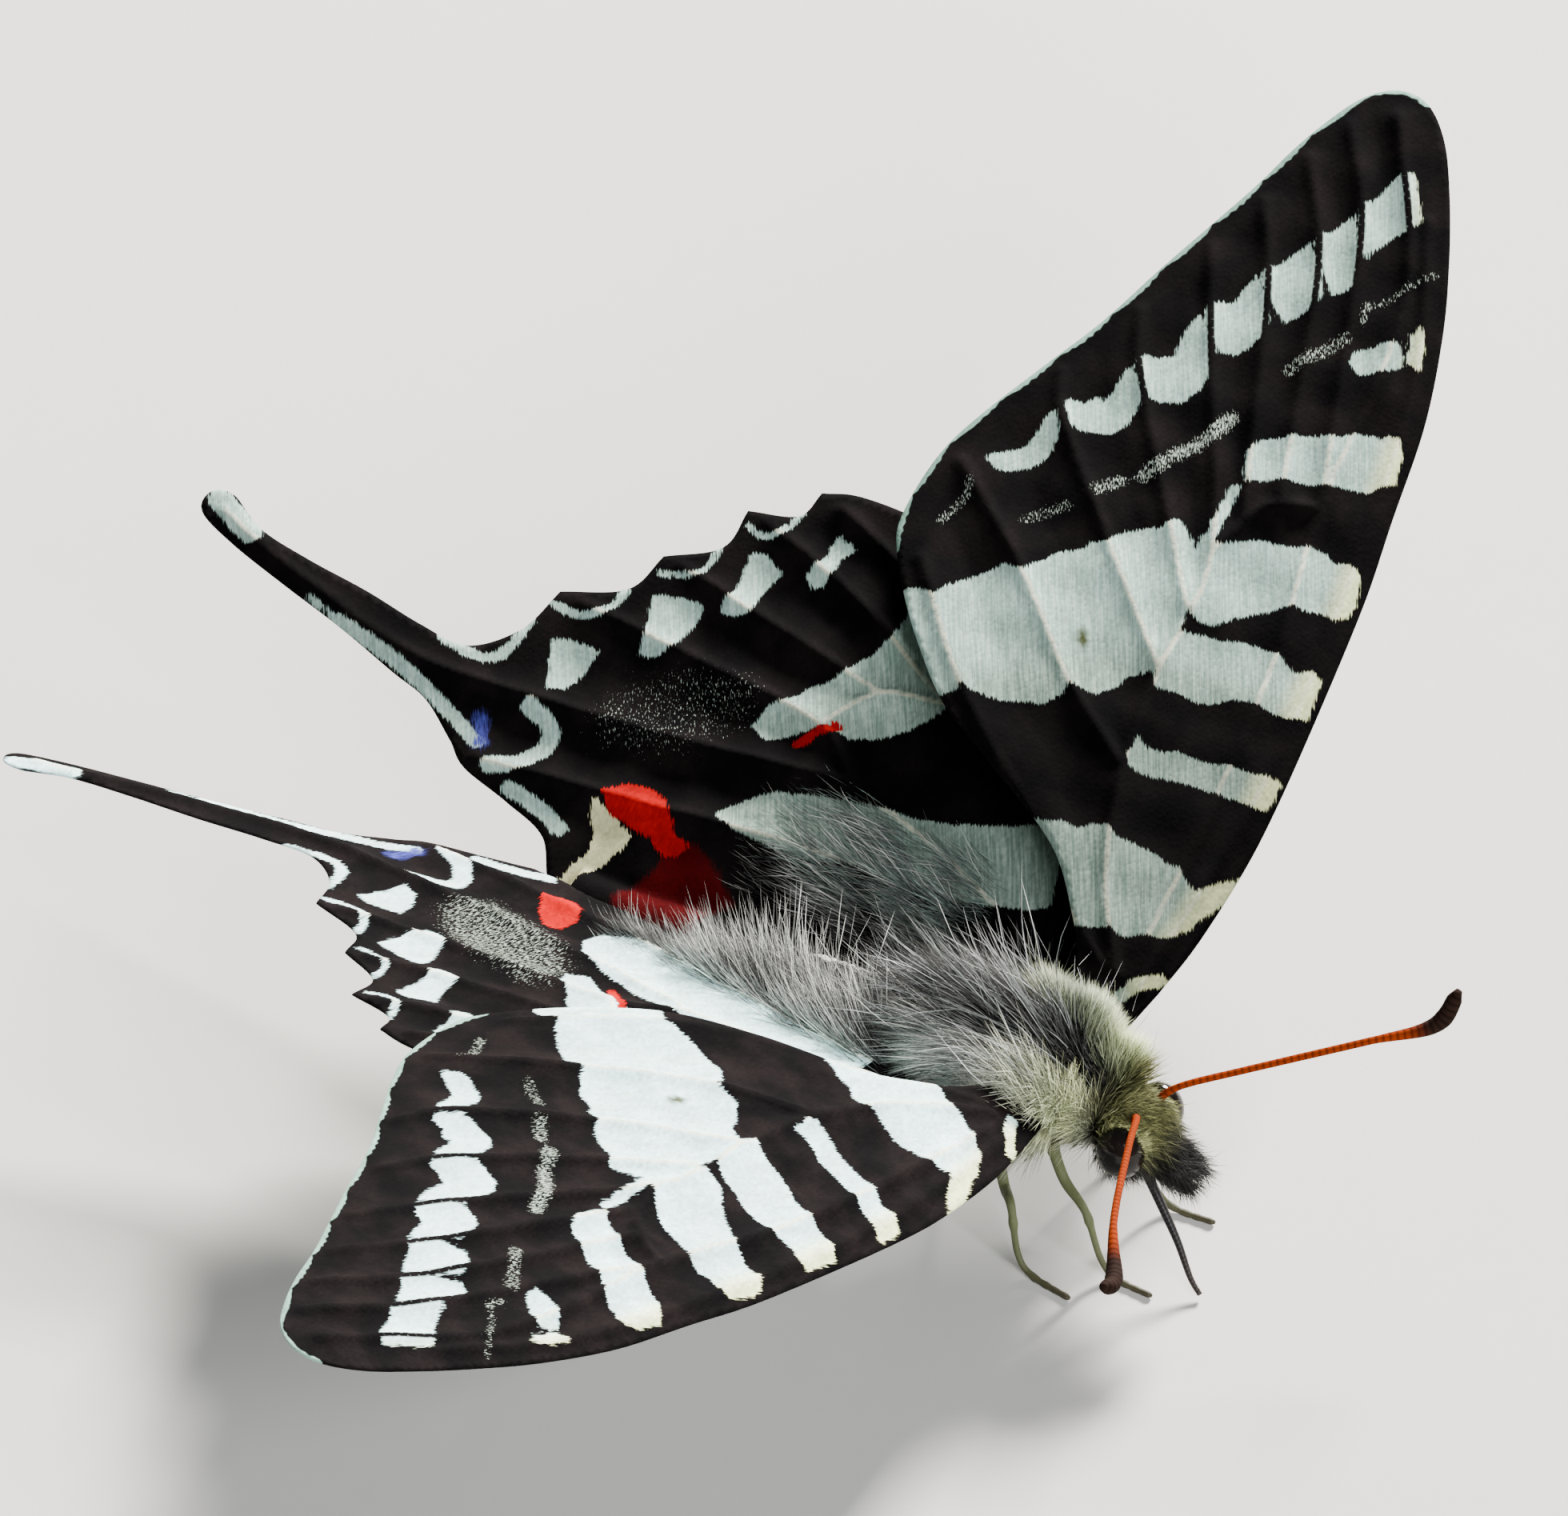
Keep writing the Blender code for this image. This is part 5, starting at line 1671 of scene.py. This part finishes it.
@dataclass
class Coat:
    """Hair of the body and of the hindwings' inner margins."""

    KEPT = ("tint", "along", "strand", "material_index", "sharp_face", "sharp_edge")
    locks: tuple[Lock, ...] = (
        Lock("mane_under", 11500, 1.2, 0.05, 0.5, 0.35, 11, (0.018, 0.017, 0.016)),
        Lock("mane_silver", 8000, 2.5, 0.010, 0.3, 0.3, 12, bends=(-0.3, 0.0, 0.3, 0.6)),
        Lock("mane_wisps", 1000, 4.0, 0.008, 0.45, 0.4, 13, (0.30, 0.31, 0.30), bends=(-0.3, 0.1, 0.4, 0.7)),
        Lock("stream", 10500, 2.6, 0.013, 0.22, 0.17, 19, bends=(-0.2, 0.05, 0.25, 0.5)),
        Lock("collar", 7000, 2.0, 0.017, 0.15, 0.36, 14, bends=(-0.3, 0.0, 0.3, 0.6)),
        Lock("shoulder", 11500, 2.0, 0.018, 0.1, 0.11, 15, plush=True, bends=(0.0, 0.1, 0.2, 0.3)),
        Lock("crest", 8000, 0.85, 0.03, 0.55, 0.4, 16),
        Lock("palp", 9500, 1.35, 0.018, 0.35, 0.42, 20, bends=(-0.2, 0.0, 0.2, 0.4)),
        Lock("belly", 8000, 1.3, 0.045, 0.45, 0.35, 17),
        Lock("tail_body", 11500, 0.75, 0.08, 0.22, 0.22, 18),
    )
    margin_locks: tuple[Lock, ...] = (
        Lock("margin_down", 9500, 1.9, 0.014, 0.1, 0.3, 31, bends=(-0.4, -0.1, 0.2, 0.5)),
        Lock("margin_silver", 1700, 2.8, 0.009, 0.2, 0.34, 32, (0.32, 0.32, 0.30),
             bends=(-0.6, -0.3, 0.0, 0.4)),
    )
    finish: CoatFinish = CoatFinish("coat_hair", 0.55, specular=0.12)
    plush_finish: CoatFinish = CoatFinish("coat_plush", 0.7, specular=0.1, contrast=0.8, dark_share=0.75)
    skin_finish: CoatFinish = CoatFinish("coat_skin", 0.8, specular=0.1, hair=False, root=0.2)

    @staticmethod
    def fields(points: np.ndarray, normals: np.ndarray) -> dict[str, np.ndarray]:
        """Tint, lie, length and cover of each kind of hair over the body.

        Args:
            points: Places in body millimetres.
            normals: Outward directions there.

        Returns:
            Arrays by name; a cover is named after its kind of hair.
        """
        # Regions, each from 0 to 1: low faces down, near is the front half of the thorax.
        x, y, z = points.T
        side = np.sign(x) * np.minimum(1.0, np.abs(x) / 1.2)
        turn = np.degrees(np.arctan2(x, z + 1.3))
        low = 1.0 - smooth_step(-0.6, -0.1, normals[:, 2])
        head = 1.0 - smooth_step(-1.7, -1.2, y)
        tail = smooth_step(6.2, 7.4, y)
        trunk = (1.0 - head) * (1.0 - tail)
        near = (1.0 - smooth_step(2.8, 4.6, y)) * (1.0 - head)
        front = 1.0 - smooth_step(-0.6, 1.4, y)
        right = smooth_step(16.0, 42.0, -turn - 14.0 * front) * near
        inset = x - 0.45 - 0.3 * (y + 1.2)
        left = (smooth_step(0.0, 0.25, inset) * smooth_step(-1.9, -1.6, y) * (1.0 - smooth_step(1.4, 2.2, y))
                * smooth_step(-1.5, -0.9, z))
        neck = right * (1.0 - smooth_step(-0.7, 0.8, y)) * (1.0 - low)
        crest = head * smooth_step(-0.1, 0.35, normals[:, 2]) * smooth_step(-3.8, -3.2, y)
        # Lie: back over the trunk, forward on the face, and raised on the shoulders.
        wave = 0.3 * np.sin(2.7 * y + 1.4 * x) * np.sin(1.9 * x - 0.8 * y + 1.0)
        lie = np.column_stack([0.12 * side + wave, np.ones_like(x), np.full_like(x, 0.1)])
        face_lie = np.column_stack([0.35 * side, np.full_like(x, -0.7), -0.5 + 0.9 * crest])
        lie = lie * (1.0 - head)[:, None] + face_lie * head[:, None]
        lie = lie * (1.0 - neck)[:, None] + np.outer(neck, (-0.3, 0.5, 1.0))
        lie -= normals * (np.sum(lie * normals, axis=1) * 0.85)[:, None]
        raised = np.maximum(left, neck)
        lie += normals * (0.55 * raised)[:, None]
        lie = lie * (1.0 - left)[:, None] + np.outer(left, (0.6, -0.42, 1.1))
        lie /= np.maximum(np.linalg.norm(lie, axis=1), 1e-6)[:, None]
        tint = np.outer(trunk, (0.078, 0.075, 0.072)) + np.outer(1.0 - trunk, (0.022, 0.020, 0.019))

        def wash(cover: np.ndarray, colour: tuple) -> None:
            """Lays a colour over the tint."""
            tint[:] = tint * (1.0 - cover)[:, None] + np.outer(cover, colour)

        # From the right side's stream to the pale ring of fur round the eye.
        wash(right, (0.54, 0.54, 0.50))
        wash(neck, (0.50, 0.53, 0.28))
        wash(left, (0.58, 0.64, 0.36))
        wash(left * smooth_step(-1.5, 1.0, y), (0.17, 0.19, 0.145))
        # The underside of the trunk is darkened: partly its own black hair, partly painted shade beneath the
        # body.
        wash(low * (1.0 - head), (0.06, 0.06, 0.045))
        wash(tail * (1.0 - smooth_step(0.25, 0.6, np.abs(normals[:, 2] + 0.1))), (0.42, 0.41, 0.28))
        wash(crest, (0.11, 0.11, 0.042))
        eye_away = np.linalg.norm(np.column_stack([np.abs(x), y, z]) - Eye.middle, axis=1)
        rim = (1.0 - smooth_step(1.0, 1.15, eye_away)) * smooth_step(0.75, 1.0, np.abs(x))
        wash(crest * rim, (0.42, 0.43, 0.19))
        around = np.arctan2(x, z + 1.5) / (2 * math.pi) + 0.5
        uneven = 0.8 + 0.25 * np.sin(3.1 * x + 1.7 * y) * np.sin(2.3 * y - 1.1 * z) + 0.1 * trunk
        open_back = trunk * (1.0 - low) * (1.0 - left)
        thin_front = 0.12 + 0.88 * smooth_step(1.4, 3.4, y)
        return {
            "tint": np.column_stack([tint, np.ones_like(x)]),
            "lie": lie,
            "root_uv": np.column_stack([around, (y + 8.0) / 28.0, np.zeros_like(x)]),
            "reach": uneven * (1.0 - left) + left * (1.05 - 0.35 * smooth_step(-0.8, 1.6, y)),
            "mane_under": open_back,
            "mane_silver": open_back * (1.0 - right) * thin_front,
            "mane_wisps": open_back * (1.0 - neck),
            "stream": right * (1.0 - neck) * (1.0 - low),
            "collar": neck,
            "shoulder": left,
            "crest": crest,
            "palp": head * (1.0 - crest),
            "belly": trunk * low,
            "tail_body": tail,
        }

    @classmethod
    def paint(cls, mesh: bpy.types.Mesh) -> None:
        """Stores the fields that the skin's finish, its unwrap and its hairs read.

        Args:
            mesh: The skin.
        """
        fields = cls.fields(body_points(mesh), body_normals(mesh))
        for key in ("tint", "lie", "reach", "root_uv"):
            set_values(mesh, key, fields[key])

    @staticmethod
    def covered_area(mesh: bpy.types.Mesh, cover: np.ndarray) -> float:
        """Area of a mesh, each face counted by its mean cover."""
        return sum(face.area * float(cover[list(face.vertices)].mean()) for face in mesh.polygons)

    @staticmethod
    def margin_fields(plane: np.ndarray, left: bool) -> dict[str, np.ndarray]:
        """Cover, lie, length and tint of the hair along a hindwing's inner margin.

        Args:
            plane: Places in the wing's plane, with the under face far off in the third number.
            left: Whether it is the left wing, whose hair is short and soft and lies further out.

        Returns:
            Arrays by name.
        """
        u, v = plane[:, 0], plane[:, 1]
        if left:
            strip = smooth_step(-2.0, -1.2, u) * (1.0 - smooth_step(1.8, 3.2, u))
            cover = strip * (1.0 - smooth_step(7.0, 11.5, -v))
        else:
            strip = smooth_step(0.0, 0.8, u + 2.5 - 1.3 * smooth_step(8.0, 12.0, -v))
            cover = strip * (1.0 - smooth_step(-0.4, 1.1, u)) * (1.0 - smooth_step(11.0, 14.5, -v))
        cover *= 0.25 + 0.75 * smooth_step(-0.5, 0.5, np.sin(3.4 * v + 1.9 * u + np.sin(1.7 * v)))
        cover *= smooth_step(2.0, 3.6, -v) * (plane[:, 2] < UNDER_SIDE / 2)
        inner = 1.0 - smooth_step(-1.8, 0.4, u)
        front = 1.0 - smooth_step(7.0, 13.0, -v)
        reach = 0.34 + 0.72 * front + 0.16 * np.sin(2.1 * u + 1.3 * v)
        if left:
            sideways, upward = np.full_like(u, 0.12), np.full_like(u, 0.06)
            # The left's pale hair is a darker grey-green than the right's: painted shade, as on the left
            # wing.
            pale, colour = smooth_step(-1.4, 0.3, u), (0.17, 0.22, 0.195)
        else:
            sideways = 0.12 + 0.3 * inner
            upward = 0.06 + 0.34 * (1.0 - smooth_step(6.5, 10.0, -v)) * inner
            pale, colour = smooth_step(0.0, 1.2, u), (0.62, 0.70, 0.65)
        lie = np.column_stack([sideways, np.ones_like(u), upward])
        tint = np.outer(1.0 - pale, (0.040, 0.039, 0.037)) + np.outer(pale, colour)
        return {
            "cover": cover,
            "lie": lie / np.linalg.norm(lie, axis=1)[:, None],
            "reach": reach * (0.62 if left else 1.0),
            "tint": np.column_stack([tint, np.ones_like(u)]),
            "root_uv": np.column_stack([(u + 4.0) / 40.0, (v + 36.0) / 40.0, np.zeros_like(u)]),
        }

    def build(self, skin: bpy.types.Object, wings: dict[str, bpy.types.Object], tree: CoatTree,
              groups: Groups) -> None:
        """Grows all the hair.

        Args:
            skin: The finished skin.
            wings: The finished hindwings by side.
            tree: Nodes that grow it.
            groups: Effects for its finish.
        """
        material, plush = self.finish.build(groups), self.plush_finish.build(groups)
        fields = self.fields(body_points(skin.data), body_normals(skin.data))
        for lock in self.locks:
            dressing = plush if lock.plush else material
            self._grow(skin.data, lock, "coat_" + lock.name, fields[lock.name], tree, dressing)
        for name, wing in wings.items():
            ground = wing.data.copy()
            fields = self.margin_fields(get_vectors(ground, "plane"), name == "left")
            cover = fields.pop("cover")
            for key, values in fields.items():
                set_values(ground, key, values)
            for lock in self.margin_locks:
                lock = replace(lock, count=lock.count // (2 if name == "left" else 1))
                self._grow(ground, lock, "coat_%s_%s" % (lock.name, name), cover, tree, material)
            bpy.data.meshes.remove(ground)

    def _grow(self, skin: bpy.types.Mesh, lock: Lock, name: str, cover: np.ndarray, tree: CoatTree,
              material: bpy.types.Material) -> None:
        """Grows one kind of hair and mounts it.

        Args:
            skin: Mesh with lie, reach, tint and root_uv.
            lock: The kind of hair.
            name: Name of the piece.
            cover: How densely it grows at each vertex, from 0 to 1.
            tree: Nodes that grow it.
            material: The hair's finish.
        """
        ground = skin.copy()
        set_values(ground, "cover", cover)
        if lock.tint:
            ground.attributes.remove(ground.attributes["tint"])
            set_values(ground, "tint", np.tile((*lock.tint, 1.0), (len(cover), 1)))
        mesh = tree.grow(name, ground, lock, self.covered_area(ground, cover), material)
        self._finish_piece(mesh, material)
        bpy.data.meshes.remove(ground)

    def _finish_piece(self, mesh: bpy.types.Mesh, material: bpy.types.Material) -> None:
        """Maps a coat piece to the skin's unwrap and mounts it.

        Args:
            mesh: Hairs from the coat's tree.
            material: Their finish.
        """
        corner = corner_vertices(mesh)
        roots, patch = get_vectors(mesh, "root_uv"), get_vectors(mesh, "patch")
        layout = roots[corner, :2] + (patch[corner, :2] - 0.5) * TUFT_PATCH
        for name in mesh.attributes.keys():
            item = mesh.attributes[name]
            if not (item.is_internal or item.is_required or name in self.KEPT):
                mesh.attributes.remove(item)
        for layer in list(mesh.uv_layers):
            mesh.uv_layers.remove(layer)
        store_unwrap(mesh, layout)
        mesh.shade_smooth()
        mount(place_object(mesh.name, mesh), material, Slot.HAIR)


@dataclass
class Eye:
    """Glossy eye in its socket."""

    middle: tuple[float, float, float] = (1.3, -2.8, -1.5)
    half: tuple[float, float, float] = (0.72, 0.85, 0.95)

    def build(self, side: int, name: str, material: bpy.types.Material) -> None:
        """Makes the eye on one side and puts it in place of its solid.

        Args:
            side: LEFT or RIGHT.
            name: Name of the side.
            material: The eye's finish.
        """
        work = bmesh.new()
        bmesh.ops.create_icosphere(work, subdivisions=5, radius=1.0)
        points = np.array([v.co for v in work.verts]) * self.half + np.array(self.middle) * (side, 1.0, 1.0)
        faces = [tuple(v.index for v in f.verts) for f in work.faces]
        work.free()
        mount(make_object("eye_lens_" + name, points, faces), material, Slot.EYE, "eye_" + name)


# Studio


@dataclass
class Studio:
    """Floor, light and camera."""

    azimuth: float = -59.4
    elevation: float = 42.0
    distance: float = 1.5
    frame_width: float = 0.0523
    sensor: float = 36.0
    right_shift: float = -9.47
    up_shift: float = 10.33
    floor_size: float = 4.0
    sky: tuple[float, float, float] = (0.80, 0.85, 0.92)
    sky_strength: float = 0.2

    def build(self, groups: Groups) -> None:
        """Sets the whole studio.

        Args:
            groups: Effects for the floor.
        """
        self._floor(groups)
        self._light("key", (0.86, 0.10, 0.52), size=0.22, energy=80.0, colour=(1.0, 0.98, 0.94))
        self._light("fill", (-0.45, -0.75, 0.55), size=0.5, energy=18.0, colour=(0.94, 0.97, 1.0))
        world = bpy.data.worlds.new("studio")
        world.use_nodes = True
        background = world.node_tree.nodes["Background"].inputs
        background["Color"].default_value = (*self.sky, 1.0)
        background["Strength"].default_value = self.sky_strength
        bpy.context.scene.world = world
        self._camera()

    def _floor(self, groups: Groups) -> None:
        """Makes the plain pale floor.

        Args:
            groups: Effects for its finish.
        """
        half = self.floor_size / 2
        mesh = bpy.data.meshes.new("floor")
        corners = [(x * half, y * half, 0.0) for x, y in ((-1, -1), (1, -1), (1, 1), (-1, 1))]
        mesh.from_pydata(corners, [], [(0, 1, 2, 3)])
        mesh.materials.append(FloorFinish("floor_plain", 0.85).build(groups))
        floor = place_object("floor", mesh)

    def _light(self, name: str, place: tuple, size: float, energy: float, colour: tuple) -> None:
        """Soft square light that faces the middle of the model.

        Args:
            name: Name of the light.
            place: Where it stands, in metres.
            size: Its width in metres.
            energy: Its power in watts.
            colour: Its colour.
        """
        data = bpy.data.lights.new(name, "AREA")
        data.size = size
        data.energy = energy
        data.color = colour
        light = place_object(name, data)
        light.location = place
        light.rotation_euler = (-Vector(place)).to_track_quat("-Z", "Y").to_euler()

    def _camera(self) -> None:
        """Long lens from above the right side of the head."""
        a, e = math.radians(self.azimuth), math.radians(self.elevation)
        towards = Vector((math.sin(a) * math.cos(e), -math.cos(a) * math.cos(e), math.sin(e)))
        right = Vector((math.cos(a), math.sin(a), 0.0))
        up = towards.cross(right)
        aim = Vector(to_world(np.zeros(3))) + (right * self.right_shift + up * self.up_shift) * MM
        data = bpy.data.cameras.new("camera")
        data.sensor_width = self.sensor
        data.lens = self.sensor * self.distance / self.frame_width
        data.clip_end = 10.0
        camera = place_object("camera", data)
        camera.location = aim + towards * self.distance
        camera.rotation_euler = (-towards).to_track_quat("-Z", "Y").to_euler()
        bpy.context.scene.camera = camera


def main() -> None:
    """Builds the studio and each part of the animal."""
    logging.basicConfig(level=logging.INFO, format="%(message)s")
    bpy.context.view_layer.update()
    groups = Groups()
    Studio().build(groups)
    wing = WingFinish("wing_scales", 0.9, specular=0.02).build(groups)
    hindwings = {}
    for side, name in SIDES:
        Wing("forewing_%s_scaled" % name, FOREWING, side).build(wing)
        slide = tuple(side * move for move in HINDWING_SLIDE)
        hindwings[name] = Wing("hindwing_%s_scaled" % name, HINDWING, side, slide).build(wing)
    Limbs().build(groups)
    eye = EyeFinish("eye_gloss", 0.12, coat=0.12, specular=0.12).build(groups)
    for side, name in SIDES:
        Eye().build(side, name, eye)
    coat = Coat()
    skin = Skin().build(coat.skin_finish.build(groups))
    coat.build(skin, hindwings, CoatTree(), groups)


if __name__ == "__main__":
    main()
